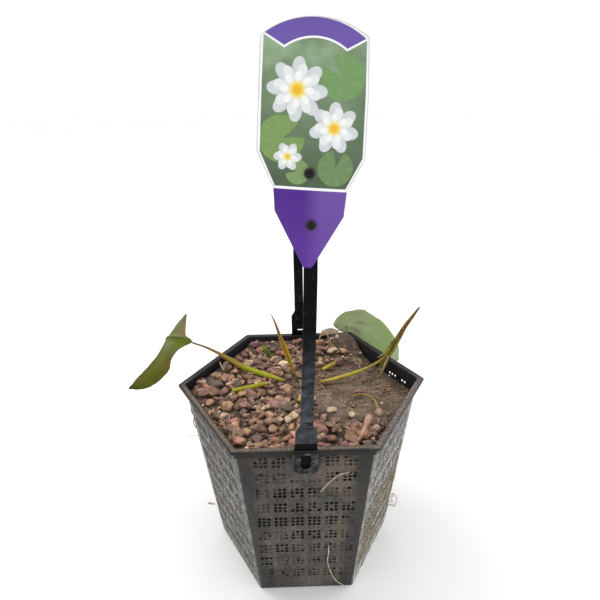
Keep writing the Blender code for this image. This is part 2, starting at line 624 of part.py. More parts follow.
def gravel_bed():
    """The sheet of gravel round the left and front of the crown, as deep as its grains."""
    rng = random.Random(5)
    crown = Vector((*CROWN, 0))
    spokes = []
    for p in boundary(SILT_Z, BED_SPOKES_A_SIDE, 1.0):
        bearing = math.degrees(math.atan2(p.y - CROWN[1], p.x - CROWN[0])) % 360
        if BED_SPAN[0] <= bearing <= BED_SPAN[1]:
            spokes.append((bearing, p))
    spokes = [p for bearing, p in sorted(spokes, key=lambda item: item[0])]
    bm = bmesh.new()
    tops, feet = [], []
    for n, p in enumerate(spokes):
        start = crown + (p - crown).normalized() * BED_INNER_R
        at_end = n in (0, len(spokes) - 1)
        line = []
        for k in range(BED_RINGS + 1):
            share = k / BED_RINGS
            q = start.lerp(p, share)
            high = BED_LOW_Z + (BED_HIGH_Z - BED_LOW_Z) * share ** 1.5 + heap(q.x, q.y)
            deep = (high - SILT_Z) * (0.35 + 0.4 * share if at_end else 0.6 + 0.4 * share if n == 1 else 1.0)
            if k == 0:
                deep *= 0.6
            line.append(bm.verts.new((q.x, q.y, SILT_Z + max(deep + rng.uniform(-BED_LUMP, BED_LUMP), 1.2))))
        tops.append(line)
        feet.append((bm.verts.new((start.x, start.y, SILT_Z + GAP)), bm.verts.new((p.x, p.y, SILT_Z + GAP))))
    for n in range(len(spokes) - 1):
        for k in range(BED_RINGS):
            bm.faces.new((tops[n][k], tops[n][k + 1], tops[n + 1][k + 1], tops[n + 1][k]))
        bm.faces.new((feet[n][0], feet[n + 1][0], feet[n + 1][1], feet[n][1]))
        bm.faces.new((tops[n][0], tops[n + 1][0], feet[n + 1][0], feet[n][0]))
        bm.faces.new((tops[n][-1], feet[n][1], feet[n + 1][1], tops[n + 1][-1]))
    for n in (0, -1):
        bm.faces.new([*tops[n], feet[n][1], feet[n][0]])
    return add_object("gravel_bed", mesh_from(bm, "gravel_bed"), "gravel")


def bed_height(x, y):
    """About how high the gravel or mud stands at a place."""
    away = math.hypot(x - CROWN[0], y - CROWN[1])
    bearing = math.degrees(math.atan2(y - CROWN[1], x - CROWN[0])) % 360
    if away < BED_INNER_R or not BED_SPAN[0] < bearing < BED_SPAN[1]:
        return silt_height(x, y)
    reach = min(1.0, (away - BED_INNER_R) / 65.0)
    return BED_LOW_Z + (BED_HIGH_Z - BED_LOW_Z) * reach ** 1.5 + heap(x, y)


def stone_middle(seed):
    x, y, length, width, height = STONES[seed][:5]
    return Vector((x, y, bed_height(x, y) + height * (0.5 - STONE_SINK)))


def stone_hull(bm, seed):
    """A chip of stone: the hull of points scattered over an ellipsoid."""
    length, width, height, turn = STONES[seed][2:6]
    rng = random.Random(100 + seed)
    middle = stone_middle(seed)
    spin = Matrix.Rotation(math.radians(turn), 3, "Z")
    verts = []
    for k in range(STONE_POINTS):
        up = 1 - 2 * (k + 0.5) / STONE_POINTS
        round_ = math.sqrt(1 - up * up)
        a = 2.399963 * k + rng.uniform(-0.25, 0.25)
        size = rng.uniform(0.86, 1.0)
        p = Vector((length * round_ * math.cos(a), width * round_ * math.sin(a), height * up)) * size / 2
        verts.append(bm.verts.new(middle + spin @ p))
    hull = bmesh.ops.convex_hull(bm, input=verts)
    spare = [v for v in hull["geom_interior"] + hull["geom_unused"] if isinstance(v, bmesh.types.BMVert)]
    bmesh.ops.delete(bm, geom=list(set(spare)), context="VERTS")


def stones():
    for seed, stone in enumerate(STONES):
        name = "stone_%02d" % (seed + 1)
        bm = bmesh.new()
        stone_hull(bm, seed)
        add_object(name, mesh_from(bm, name), stone[6])


def stone_sockets():
    """Boxes with room for each stone, from just under it to above the bed."""
    bm = bmesh.new()
    for seed, (_, _, length, width, height, turn, _) in enumerate(STONES):
        middle = stone_middle(seed) + Vector((0, 0, height / 2 - GAP))
        place = Matrix.Translation(middle) @ Matrix.Rotation(math.radians(turn), 4, "Z")
        box_into(bm, (length + 2 * GAP, width + 2 * GAP, 2 * height), place)
    return add_object("cut_stone_sockets", mesh_from(bm, "cut_stone_sockets"))


def growing_medium():
    mud = silt()
    bed = gravel_bed()
    stones()
    sockets = stone_sockets()
    groove = tube("cut_stalk_groove", STALK_LEFT[:4], [r + GAP for r in STALK_LEFT_R[:4]], None)
    for body in (mud, bed):
        combine(body, sockets, "DIFFERENCE").use_self = True
        combine(body, groove, "DIFFERENCE")


def plant():
    sheet("leaf_left", LEAF_LEFT, LEAF_T, "leaf_green")
    sheet("leaf_round", LEAF_ROUND, LEAF_T, "leaf_pale")
    rolled_leaf("leaf_centre", LEAF_CENTRE, LEAF_CENTRE_W, "leaf_ochre")
    rolled_leaf("leaf_right", LEAF_RIGHT, LEAF_RIGHT_W, "leaf_ochre")
    rolled_leaf("shoot", SHOOT, SHOOT_W, "leaf_green")
    tube("stalk_left", STALK_LEFT, STALK_LEFT_R, "stalk")
    tube("stalk_right", STALK_RIGHT, STALK_RIGHT_R, "stalk")
    tube("stalk_short", STALK_SHORT, STALK_SHORT_R, "stalk")
    tube("stalk_round", STALK_ROUND, STALK_ROUND_R, "stalk_dry")
    tube("stub_back", STUB_BACK, STUB_BACK_R, "stalk")
    tube("stub_front", STUB_FRONT, STUB_FRONT_R, "stalk")


def litter_and_roots():
    sheet("dead_leaf_back", DEAD_LEAF_BACK, DEAD_LEAF_T, "dead")
    sheet("dead_leaf_front", DEAD_LEAF_FRONT, DEAD_LEAF_T, "dead")
    tube("dry_stalk", DRY_STALK, DRY_STALK_R, "stalk_dry")
    for name, route in (("root_front_upper", ROOT_UPPER), ("root_front_lower", ROOT_LOWER),
                        ("root_right", ROOT_RIGHT), ("root_left", ROOT_LEFT)):
        tube(name, route, [ROOT_R] * len(route), "root")


clear_scene()
PART = new_collection("dwarf_water_lily_basket")
CUTTERS = new_collection("cutters")
basket()
handle_strap()
label_card()
label_studs()
growing_medium()
plant()
litter_and_roots()
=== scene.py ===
"""The looks of a dwarf water lily in a hexagonal lattice basket.

Sizes and places are millimetres here and become metres in each mesh. The basket stands on z = 0
with its centre on the Z axis, its front is -Y, and two corners of the hexagon lie on X.
"""
import functools
import random
from math import asin, atan2, cos, degrees, exp, hypot, pi, radians, sin

import bpy
import numpy as np
from mathutils import Matrix, Vector, noise


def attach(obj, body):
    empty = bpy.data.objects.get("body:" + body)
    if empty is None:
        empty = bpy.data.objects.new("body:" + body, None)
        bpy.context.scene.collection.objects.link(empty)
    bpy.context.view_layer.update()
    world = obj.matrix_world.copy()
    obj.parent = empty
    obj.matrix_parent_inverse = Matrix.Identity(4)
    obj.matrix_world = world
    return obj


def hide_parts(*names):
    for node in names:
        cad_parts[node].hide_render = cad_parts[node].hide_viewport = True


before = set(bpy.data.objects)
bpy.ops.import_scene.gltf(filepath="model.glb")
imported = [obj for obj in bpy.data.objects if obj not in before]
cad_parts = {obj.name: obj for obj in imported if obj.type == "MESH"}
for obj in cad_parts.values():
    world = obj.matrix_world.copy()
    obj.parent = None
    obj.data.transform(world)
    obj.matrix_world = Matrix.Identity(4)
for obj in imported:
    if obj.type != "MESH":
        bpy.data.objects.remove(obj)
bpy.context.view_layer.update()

MM = 0.001
SIDES = 6
COS30 = cos(radians(30))

# Basket, with radii from the centre to a corner
RIM_R = 100.0
RIM_Z = 155.5
FLANGE_T = 1.8
SKIRT_R = 96.0
WALL_TOP_R = 94.0
WALL_TOP_Z = 147.5
WALL_FOOT_R = 74.4
WALL_T = 1.0 / COS30
FLOOR_T = 2.0
WALL_SLOPE = (WALL_TOP_R - WALL_FOOT_R) / WALL_TOP_Z
CORNER = 1.3                     # how far along each wall its rounded corner reaches

# Lattice of small holes, in groups of three by three
COLUMN_PITCH = 12.35
COLUMNS = 6
ROW_PITCH = 15.2
ROWS = 9
TOP_ROW_Z = 142.0
HOLE = 2.3
HOLE_PITCH = 3.4

# Brackets and strap
FOOT_Y = 84.5
FOOT_Z = 139.6
CLIP_W = 14.6
CLIP_T = 2.0
CLIP_TOP_Z = 169.7
SHOULDER_Z = 174.3
STRAP_W = 8.2
STRAP_T = 1.7
LEG_Y = 80.0
ARCH_Z = 342.0
ARCH_RISE = 48.0
FRONT_LEAN = 0.0452              # sideways lean of the front leg at its foot, to the right
FRONT_TURN = 261.3               # height above the rim at which that lean would be back at nothing
BACK_FOOT_X = 0.6
BACK_LEAN = -0.007
BACK_LIFT = 5.5
BACK_SLOT = (5.0, 1.8)
BACK_SLOT_X = 1.1
BACK_SLOT_Z = 160.5
BRACKET_W = 17.6
BRACKET_FOOT_Z = 136.5
BRACKET_FACE_Y = 87.0
BRACKET_CORNER = 5.5
BRACKET_SLOT = (6.7, 11.0)
BRACKET_SLOT_Z = 146.5

# Picture card, measured from its lower stud
CARD_T = 0.7
CARD_ROLL = radians(2.0)
LOWER_STUD_Z = 307.3
STUD_PITCH = 28.5
STUD_LEAN = -0.025
STUD_R = 3.0
GAP = 0.3
CARD_SIDE = ((-2.8, -25.2), (0.4, -25.2), (1.7, -24.2), (18.0, 4.8), (19.1, 19.1), (27.9, 35.6), (27.6, 68.0))
CARD_OTHER_SIDE = ((-28.8, 68.0), (-30.0, 40.0), (-21.0, 20.3), (-20.3, 8.0), (-4.2, -24.2))
CARD_ARCH_X = -0.7
CARD_ARCH_Z = 94.5
CARD_ARCH_HALF = 26.9
CARD_ARCH_RISE = 8.7

# Mud and gravel
SILT_Z = 141.0
CROWN = (0.0, 16.0)
CROWN_R = 13.0
CROWN_RISE = 1.6
BED_INNER_R = 15.0
BED_SPAN = (36.0, 318.0)
BARE_FRONT = 22.0                # degrees of that span where the mud stays bare near the crown
BARE_REACH = 80.0                # and how far out from the crown it does
BED_RISE = 3.9                   # how much higher the mud lies under the gravel
WALL_RISE = 2.0                  # and at the walls, fading out over this reach
WALL_REACH = 16.0
DIP = (-4.0, 13.0)               # a dip beside the crown, with its half widths and depth
DIP_HALF = (4.0, 3.0)
DIP_DEPTH = 2.6
RIPPLES = ((0.045, 0.55), (0.16, 0.34), (0.55, 0.16))  # ripples to the millimetre, and their height
HEAPS = ((90.0, 6.5), (150.0, 4.5))  # bearing of a wall that gravel is heaped against, and the heap's rise
HEAP_REACH = 24.0
HEAP_END = 58.0                  # and how far to the right those heaps go
CORNER_HEAP = (46.0, 80.0)       # the back right corner, which mud fills up to the rim
CORNER_HEAP_R = 42.0
CORNER_HEAP_RISE = 13.0          # at most
CORNER_CORE_R = 24.0
OPEN_MUD = (26.0, -2.0)          # the middle of the bare mud, which is lighter
OPEN_MUD_R = 48.0
SILT_R = WALL_FOOT_R + WALL_SLOPE * SILT_Z - WALL_T  # the mud's own corners, inside the wall
STONES = 30
STONE_EDGE = 16.0                # angle over which two facets of a stone meet in a sharp edge
STONE_LOOKS = (
    "tan slate pink pink rust cream tan cream tan cream pink pink slate pink tan plum "
    "rust tan pink slate cream cream pink rust pink cream rust plum tan plum").split()
LOOSE_LOOKS = "pink pink brown brown tan tan plum mauve brown rust slate cream".split()
# Loose stones, large to small: name, cuts of the ball, how many, their lengths, the least of height to width,
# the height that they stay under, how many flats, the share of them on bare mud, and the CAD nodes
LOOSE_STONES = (
    ("gravel_chips", 3, 330, (8.5, 17.5), 0.5, 152.2, 10, 0.0, ["gravel_bed"]),
    ("gravel_grains", 2, 520, (2.4, 6.0), 0.5, 151.8, 8, 0.02, []),
    ("gravel_grit", 1, 1300, (0.8, 2.2), 0.4, 151.4, 8, 0.12, []),
)
GRAVEL_FIELD = (92.0, 82.0)      # half the width and depth that loose stones are dropped over
STONE_BREADTH = (0.62, 0.95)     # breadth to length
STONE_SINK = (0.3, 0.75)         # how much of its half height a stone sinks into what it lies on
STONE_FLATS = (0.52, 0.95)       # how far the flats are from the middle
STONE_TILT = 0.28                # spread of its tilt about each level axis, in radians
STONE_LIGHT = (0.8, 1.34)        # how dark and light the loose stones are
ROOF_DIP = 2.6                   # how much lower they stay round the crown, and where the bed ends
ROOF_DIP_R = 70.0
ROOF_EDGE = 2.2
ROOF_HEAP = 4.5                  # and how much higher at most in the heaps
MUD_SIDES = ((0.998, 137.0), (0.945, 135.0), (0.93, 100.0), (0.78, 3.0))  # share of its width, height
MUD_BITS = 150                   # bits of dead plant on the mud, and thin strands in its back corner
CORNER_STRANDS = 34
BACKED_Z = 138.0                 # clogged holes above this have a sheet behind, painted near black as shade


def srgb(*screen):
    """A linear colour from 0 to 255 screen values."""
    shares = [value / 255 for value in screen]
    return tuple(v / 12.92 if v <= 0.04045 else ((v + 0.055) / 1.055) ** 2.4 for v in shares)


STONE_COLOURS = {
    "tan": srgb(194, 154, 118),
    "slate": srgb(108, 94, 82),
    "pink": srgb(186, 136, 114),
    "rust": srgb(164, 116, 94),
    "cream": srgb(226, 200, 164),
    "plum": srgb(122, 90, 90),
    "brown": srgb(146, 110, 84),
    "mauve": srgb(162, 122, 114),
}


# Scene: floor, light and camera

def stage_and_light():
    """A pale floor, a bright even sky and two soft lamps."""
    bpy.ops.mesh.primitive_circle_add(vertices=96, radius=6.0, fill_type="NGON")
    floor = bpy.context.object
    floor.name = "floor"
    floor.data.materials.append(Shade("floor_paint").finish((252, 252, 252), 1.0, specular=0.0))

    sky = bpy.data.worlds.new("sky")
    sky.use_nodes = True
    background = sky.node_tree.nodes["Background"]
    background.inputs["Color"].default_value = (1.0, 1.0, 1.0, 1.0)
    background.inputs["Strength"].default_value = 1.02
    bpy.context.scene.world = sky

    for name, place, size, power, colour in (("key", (-0.9, 0.5, 1.5), 1.1, 9.0, (1.0, 0.98, 0.95)),
            ("fill", (1.3, 0.4, 1.3), 1.2, 4.0, (0.97, 0.98, 1.0))):
        lamp = bpy.data.lights.new(name, "AREA")
        lamp.shape = "DISK"
        lamp.size = size
        lamp.energy = power
        lamp.color = colour
        holder = add(name, lamp)
        holder.location = place
        holder.rotation_euler = (Vector((0, 0, 0.16)) - Vector(place)).to_track_quat("-Z", "Y").to_euler()
    view = bpy.context.scene.view_settings
    view.view_transform = "Standard"
    view.look = "None"


def camera():
    """The photograph's view, with the lens from its focal length in pixels."""
    place = Vector((-8.6, -367.9, 384.8)) * MM
    pitch, yaw, roll = (radians(a) for a in (23.17, 1.28, -0.86))
    focal_px = 528.0
    frame_px = 600.0
    ahead = Vector((sin(yaw) * cos(pitch), cos(yaw) * cos(pitch), -sin(pitch)))
    level = ahead.cross(Vector((0, 0, 1))).normalized()
    over = level.cross(ahead)
    right = cos(roll) * level + sin(roll) * over
    up = cos(roll) * over - sin(roll) * level
    lens = bpy.data.cameras.new("camera")
    lens.sensor_width = 36.0
    lens.lens = focal_px / frame_px * lens.sensor_width
    lens.clip_start = 0.01
    eye = add("camera", lens)
    eye.matrix_world = Matrix.Translation(place) @ Matrix((right, up, -ahead)).transposed().to_4x4()
    bpy.context.scene.camera = eye


# Shader helper

class Value:
    """A shader's value: arithmetic on it adds the nodes that work it out."""

    def __init__(self, shade, socket):
        self.shade, self.socket = shade, socket

    def __add__(self, other):
        return self.shade.math("ADD", self, other)

    def __mul__(self, other):
        return self.shade.math("MULTIPLY", self, other)

    def __sub__(self, other):
        return self.shade.math("SUBTRACT", self, other)

    def __rsub__(self, other):
        return self.shade.math("SUBTRACT", other, self)

    def __abs__(self):
        return self.shade.math("ABSOLUTE", self)


class Shade:
    """A material's node tree, built a node at a time. Its colours are screen values, 0 to 255."""

    def __init__(self, name):
        self.material = bpy.data.materials.new(name)
        self.material.use_nodes = True
        self.tree = self.material.node_tree

    def feed(self, socket, value):
        if isinstance(value, Value):
            self.tree.links.new(value.socket, socket)
        elif socket.type == "RGBA":
            socket.default_value = (*srgb(*value), 1.0)
        else:
            socket.default_value = value

    def node(self, kind, inputs, output=0, **settings):
        made = self.tree.nodes.new("ShaderNode" + kind)
        for key, value in settings.items():
            setattr(made, key, value)
        for key, value in inputs.items():
            self.feed(made.inputs[key], value)
        return Value(self, made.outputs[output])

    def finish(self, colour, rough, normal=None, specular=0.5, coat=0.0):
        """The material, with its surface set."""
        sockets = self.tree.nodes["Principled BSDF"].inputs
        values = {"Base Color": colour, "Roughness": rough, "Specular IOR Level": specular,
            "Coat Weight": coat}
        if normal is not None:
            values["Normal"] = normal
        for key, value in values.items():
            self.feed(sockets[key], value)
        return self.material

    def place(self):
        return self.node("TexCoord", {}, "Object")

    def uv(self):
        return self.node("UVMap", {}, "UV", uv_map="grid")

    def tint(self):
        return self.node("Attribute", {}, "Color", attribute_name="tint")

    def normal(self):
        return self.node("NewGeometry", {}, "Normal")

    def split(self, vector):
        made = self.node("SeparateXYZ", {"Vector": vector}).socket.node
        return [Value(self, axis) for axis in made.outputs]

    def join(self, x, y, z=0.0):
        return self.node("CombineXYZ", {"X": x, "Y": y, "Z": z})

    def stretch(self, where, scale, turn=(0.0, 0.0, 0.0)):
        return self.node("Mapping", {"Vector": where, "Rotation": turn, "Scale": scale})

    def vector(self, operation, a, b):
        return self.node("VectorMath", {0: a, 1: b}, "Value", operation=operation)

    def noise(self, where, scale, detail=4.0, rough=0.55, warp=0.0):
        """Soft noise about a half, with its scale in features to the metre, or to the unit of a UV map."""
        inputs = {"Vector": where, "Scale": scale, "Detail": detail, "Roughness": rough, "Distortion": warp}
        return self.node("TexNoise", inputs, "Fac")

    def cells(self, where, scale):
        return self.node("TexVoronoi", {"Vector": where, "Scale": scale}, "Distance")

    def bands(self, where, scale, warp):
        inputs = {"Vector": where, "Scale": scale, "Distortion": warp}
        return self.node("TexWave", inputs, "Fac", wave_type="BANDS")

    def ramp(self, value, *stops, linear=False):
        """A colour for a value, from stops of position, red, green and blue."""
        made = self.node("ValToRGB", {"Fac": value}, "Color")
        elements = made.socket.node.color_ramp.elements
        while len(elements) < len(stops):
            elements.new(0.5)
        for element, (position, *colour) in zip(elements, stops):
            element.position = position
            element.color = (*(colour if linear else srgb(*colour)), 1.0)
        return made

    def mix(self, share, a, b, blend="MIX"):
        return self.node("Mix", {0: share, 6: a, 7: b}, 2, data_type="RGBA", blend_type=blend)

    def times(self, a, b):
        return self.mix(1.0, a, b, "MULTIPLY")

    def dim(self, colour, shade):
        return self.times(colour, self.join(shade, shade, shade))

    def math(self, operation, a, b=0.0):
        return self.node("Math", {0: a, 1: b}, operation=operation)

    def least(self, *values):
        return functools.reduce(functools.partial(self.math, "MINIMUM"), values)

    def most(self, *values):
        return functools.reduce(functools.partial(self.math, "MAXIMUM"), values)

    def scale(self, value, low, high, to_low=0.0, to_high=1.0, smooth=False):
        """A value carried from one range to another, and held at its ends."""
        inputs = {"Value": value, "From Min": low, "From Max": high, "To Min": to_low, "To Max": to_high}
        return self.node("MapRange", inputs, interpolation_type="SMOOTHSTEP" if smooth else "LINEAR")

    def fade(self, share, low, high):
        """From low to high as a share goes from 0 to 1."""
        return self.scale(share, 0.0, 1.0, low, high)

    def grade(self, cloud, low, high):
        """From low to high over the range that noise takes."""
        return self.scale(cloud, 0.3, 0.7, low, high)

    def over(self, base, value, low, high, colour, most=1.0, smooth=False):
        """A colour laid over another as a value goes from low to high."""
        return self.mix(self.scale(value, low, high, 0.0, most, smooth), base, colour)

    def bump(self, height, depth, under=None):
        """A bump whose full height is depth millimetres, over another if given."""
        inputs = {"Height": height, "Distance": depth * MM, "Strength": 1.0}
        if under is not None:
            inputs["Normal"] = under
        return self.node("Bump", inputs)


# Meshes

def add(name, data):
    """A new object in the scene."""
    made = bpy.data.objects.new(name, data)
    bpy.context.scene.collection.objects.link(made)
    return made


def make_piece(name, points, faces, paint, nodes=(), uvs=None, tints=None):
    """A mesh from millimetre points, riding on the body, in place of the CAD nodes that it stands for."""
    mesh = bpy.data.meshes.new(name)
    mesh.from_pydata((np.asarray(points, float) * MM).tolist(), [], [tuple(int(k) for k in f) for f in faces])
    if uvs is not None:
        corner = np.empty(len(mesh.loops), dtype=np.int32)
        mesh.loops.foreach_get("vertex_index", corner)
        layer = mesh.uv_layers.new(name="grid")
        layer.data.foreach_set("uv", np.asarray(uvs, float)[corner].ravel())
    if tints is not None:
        colours = np.ones((len(points), 4))
        colours[:, :3] = tints
        layer = mesh.color_attributes.new(name="tint", type="FLOAT_COLOR", domain="POINT")
        layer.data.foreach_set("color", colours.ravel())
    mesh.materials.append(paint)
    mesh.shade_smooth()
    piece = add(name, mesh)
    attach(piece, "root")
    if nodes:
        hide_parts(*nodes)
    return piece


def add_modifier(piece, kind, **settings):
    step = piece.modifiers.new(kind.lower(), kind)
    for key, value in settings.items():
        setattr(step, key, value)
    return step


def smooth_route(points, steps):
    """Points on a Catmull-Rom curve through the given ones, steps to each span."""
    knots = [np.array(p, float) for p in points]
    knots = [2 * knots[0] - knots[1]] + knots + [2 * knots[-1] - knots[-2]]
    route = []
    for a, b, c, d in zip(knots, knots[1:], knots[2:], knots[3:]):
        for k in range(steps):
            t = k / steps
            route.append(0.5 * (2 * b + (c - a) * t + (2 * a - 5 * b + 4 * c - d) * t * t +
                (3 * b - a - 3 * c + d) * t ** 3))
    return np.array(route + [knots[-2]])


def grid_faces(rows, columns, wrap=False):
    """Quads of a grid of points in rows, joined round each row where it wraps."""
    faces = []
    for r in range(rows - 1):
        for c in range(columns if wrap else columns - 1):
            d = (c + 1) % columns
            faces.append((r * columns + c, r * columns + d, (r + 1) * columns + d, (r + 1) * columns + c))
    return faces


def loft_points(route, sections, guide):
    """Rings along a route: each section's u runs across, square to the guide, and its v to the front."""
    points = []
    for k, section in enumerate(sections):
        along = route[min(k + 1, len(route) - 1)] - route[max(k - 1, 0)]
        along /= np.linalg.norm(along)
        across = np.cross(along, guide)
        across /= np.linalg.norm(across)
        front = np.cross(across, along)
        points.extend(route[k] + u * across + v * front for u, v in section)
    return points


def capped_loft(route, sections, guide):
    """A closed loft: points, faces, and u round and v along for each point."""
    count = len(sections[0])
    points = loft_points(route, sections, guide)
    faces = grid_faces(len(sections), count, wrap=True)
    uvs = [(c / count, r / (len(sections) - 1)) for r in range(len(sections)) for c in range(count)]
    for ring, v, turn in ((0, 0.0, -1), (len(sections) - 1, 1.0, 1)):
        points.append(np.mean(points[ring * count:(ring + 1) * count], axis=0))
        uvs.append((0.5, v))
        tip = len(points) - 1
        for c in range(count):
            faces.append((ring * count + c, ring * count + (c + 1) % count, tip)[::turn])
    return points, faces, uvs


def joined(parts):
    """Several lots of points, faces and per-point values made one."""
    points, faces, values = [], [], []
    for some_points, some_faces, some_values in parts:
        start = len(points)
        points.extend(some_points)
        values.extend(some_values)
        faces.extend(tuple(k + start for k in f) for f in some_faces)
    return points, faces, values


def round_section(radius, sides, lumps, rng):
    return [(radius * (1 + rng.uniform(-lumps, lumps)) * cos(2 * pi * k / sides),
        radius * (1 + rng.uniform(-lumps, lumps)) * sin(2 * pi * k / sides)) for k in range(sides)]


def strand(points, radii, steps=6, sides=10, lumps=0.03, seed=1):
    """A round stalk, root or hair along a smooth route."""
    rng = random.Random(seed)
    route = smooth_route(points, steps)
    sizes = smooth_route([(r,) for r in radii], steps)[:, 0]
    sections = [round_section(max(r, 0.05), sides, lumps, rng) for r in sizes]
    return capped_loft(route, sections, np.array((0.13, -0.97, 0.21)))


def make_strands(name, parts, paint, nodes=()):
    """Several strands or lofts as one piece."""
    points, faces, uvs = joined(parts)
    make_piece(name, points, faces, paint, nodes, uvs=uvs)


# The basket

def wall_radius(z):
    return WALL_FOOT_R + WALL_SLOPE * z


def ring_columns():
    """The columns of points round the basket: wall bearing, kind, place across, and the hole's column."""
    columns = []
    for wall in range(SIDES):
        bearing = 30.0 + 60.0 * wall
        columns.append((bearing, "edge", -1.0, None))
        for group in range(COLUMNS):
            for line in (-1, 0, 1):
                middle = (group - (COLUMNS - 1) / 2) * COLUMN_PITCH + line * HOLE_PITCH
                columns.append((bearing, "across", middle - HOLE / 2, (wall, group, line)))
                columns.append((bearing, "across", middle + HOLE / 2, None))
        columns.append((bearing, "edge", 1.0, None))
        columns.append((bearing, "corner", 1.0, None))
    return columns


def on_wall(bearing, apothem, across, z):
    """A place on a wall that faces a bearing, that far from the middle, across and up."""
    angle = radians(bearing)
    return (apothem * cos(angle) - across * sin(angle), apothem * sin(angle) + across * cos(angle), z)


def ring_point(column, radius, z):
    bearing, kind, value, _ = column
    if kind == "corner":
        reach = radius - 0.268 * CORNER
        turned = radians(bearing) + radians(30)
        return (reach * cos(turned), reach * sin(turned), z)
    across = value * (radius / 2 - CORNER) if kind == "edge" else value
    return on_wall(bearing, radius * COS30, across, z)


def lattice_levels():
    """Heights of the holes' edges from the foot up, with the line of holes above each lower edge."""
    levels = []
    for row in range(ROWS - 1, -1, -1):
        for line in (-1, 0, 1):
            middle = TOP_ROW_Z - row * ROW_PITCH + line * HOLE_PITCH
            levels.append((middle - HOLE / 2, (row, line)))
            levels.append((middle + HOLE / 2, None))
    return levels


FRONT_WALL = 4
BACK_WALL = 1
RIGHT_FRONT_WALL = 5
LEFT_FRONT_WALL = 3
BACK_RIGHT_WALL = 0
# Groups of open holes on the front wall, by row from the top; the other holes are clogged with silt
FRONT_OPEN = ((0, 1, 4, 5), (0, 5), (1, 2, 3), (1, 2, 3, 4, 5), (0, 1, 2, 3, 4), (2, 3, 4), (1,), (0,), (0,))
# Share of each such group's holes that are open, where it isn't most of them
FRONT_SHARE = {(0, 4): 0.45, (0, 5): 0.35, (1, 0): 0.25, (2, 3): 0.6, (3, 3): 0.5, (3, 5): 0.5, (4, 0): 0.8,
    (4, 4): 0.4, (6, 1): 0.7, (7, 0): 0.45, (8, 0): 0.12}
# The holes of the back right wall's top line through which light shows, as group and column of it
LIGHT_HOLES = ((1, -1), (1, 0), (1, 1), (0, -1), (0, 0))


def hole_state(wall, row, group, column_line, row_line, rng):
    """Whether a hole is open, clogged or isn't there, because a bracket covers its place."""
    chance = rng.random()
    if wall in (FRONT_WALL, BACK_WALL) and group in (2, 3):
        if row == 0 or (row == 1 and row_line > -1):
            return "none"
    if wall == FRONT_WALL:
        if group not in FRONT_OPEN[row]:
            return "open" if chance < 0.035 else "clogged"
        return "open" if chance < FRONT_SHARE.get((row, group), 0.85) else "clogged"
    if wall == LEFT_FRONT_WALL:
        return "open" if chance < 0.62 - 0.07 * row else "clogged"
    if row == 0 and row_line == 1:
        if wall == BACK_RIGHT_WALL:
            return "open" if (group, column_line) in LIGHT_HOLES else "clogged"
        return "open" if wall == RIGHT_FRONT_WALL and chance < 0.6 else "clogged"
    return "open" if chance < 0.22 else "clogged"


def basket():
    """One moulding: rows of points up the outside, over the rim, and down the inside to the floor."""
    rng = random.Random(3)
    columns = ring_columns()
    levels = lattice_levels()
    inner_top = wall_radius(RIM_Z) - WALL_T
    outer = [(WALL_FOOT_R - 5.5, 0.7), (WALL_FOOT_R - 4.9, 0.0), (WALL_FOOT_R - 0.9, 0.0),
        (WALL_FOOT_R - 0.1, 0.9)]
    first_outer = len(outer)
    outer += [(wall_radius(z), z) for z, _ in levels]
    flange_z = RIM_Z - FLANGE_T
    rim = [(WALL_TOP_R, WALL_TOP_Z), (SKIRT_R - 0.4, WALL_TOP_Z), (SKIRT_R, WALL_TOP_Z + 0.4),
        (SKIRT_R, flange_z), (RIM_R - 0.4, flange_z), (RIM_R, flange_z + 0.4), (RIM_R, RIM_Z - 0.5),
        (RIM_R - 0.5, RIM_Z), (inner_top + 0.5, RIM_Z), (inner_top, RIM_Z - 0.5),
        (wall_radius(WALL_TOP_Z) - WALL_T, WALL_TOP_Z)]
    inner = [(wall_radius(z) - WALL_T, z) for z, _ in reversed(levels)]
    rows = outer + rim + inner + [(wall_radius(FLOOR_T) - WALL_T, FLOOR_T)]
    points = [ring_point(column, radius, z) for radius, z in rows for column in columns]
    uvs = [(abs(value) if kind == "across" else radius / 2, z) for radius, z in rows
        for _, kind, value, _ in columns]
    count = len(columns)
    top_inner = len(outer) + len(rim)

    def at(row, column):
        return row * count + column % count

    def quad(row, column, step=1):
        return [at(row, column), at(row, column + 1), at(row + step, column + 1), at(row + step, column)]

    states = {}
    faces = []
    plugs = []
    for level, (_, line) in enumerate(levels):
        for c, column in enumerate(columns):
            if line and column[3]:
                wall, group, column_line = column[3]
                states[level, c] = hole_state(wall, line[0], group, column_line, line[1], rng)
    for r in range(len(rows) - 1):
        if first_outer <= r < first_outer + len(levels):
            level = r - first_outer
        elif r >= top_inner:
            level = len(levels) - 2 - (r - top_inner)
        else:
            level = None
        faces += [quad(r, c) for c in range(count) if states.get((level, c), "none") == "none"]
    for (level, c), state in states.items():
        if state == "none":
            continue
        front = quad(first_outer + level, c)
        back = quad(top_inner + len(levels) - 1 - level, c, -1)
        for k in range(4):
            faces.append((front[k], front[(k + 1) % 4], back[(k + 1) % 4], back[k]))
        if state == "clogged":
            plugs.append([points[k] for k in front + back])
    for row, z, turn in ((0, rows[0][1], -1), (len(rows) - 1, FLOOR_T, 1)):
        points.append((0.0, 0.0, z))
        uvs.append((0.0, z))
        for c in range(count):
            faces.append((at(row, c), at(row, c + 1), len(points) - 1)[::turn])
    body = make_piece("basket_moulding", points, faces, basket_plastic(), ["basket"],
        uvs=uvs)
    body.data.set_sharp_from_angle(angle=radians(38))
    low, high = FOOT_Z - 0.6, RIM_Z + 2.0
    cut_boxes(body, [((strap_x(side * FOOT_Y, FOOT_Z), side * FOOT_Y, (low + high) / 2),
        (CLIP_W + 1.0, CLIP_T + 1.0, high - low)) for side in (-1, 1)])
    return plugs


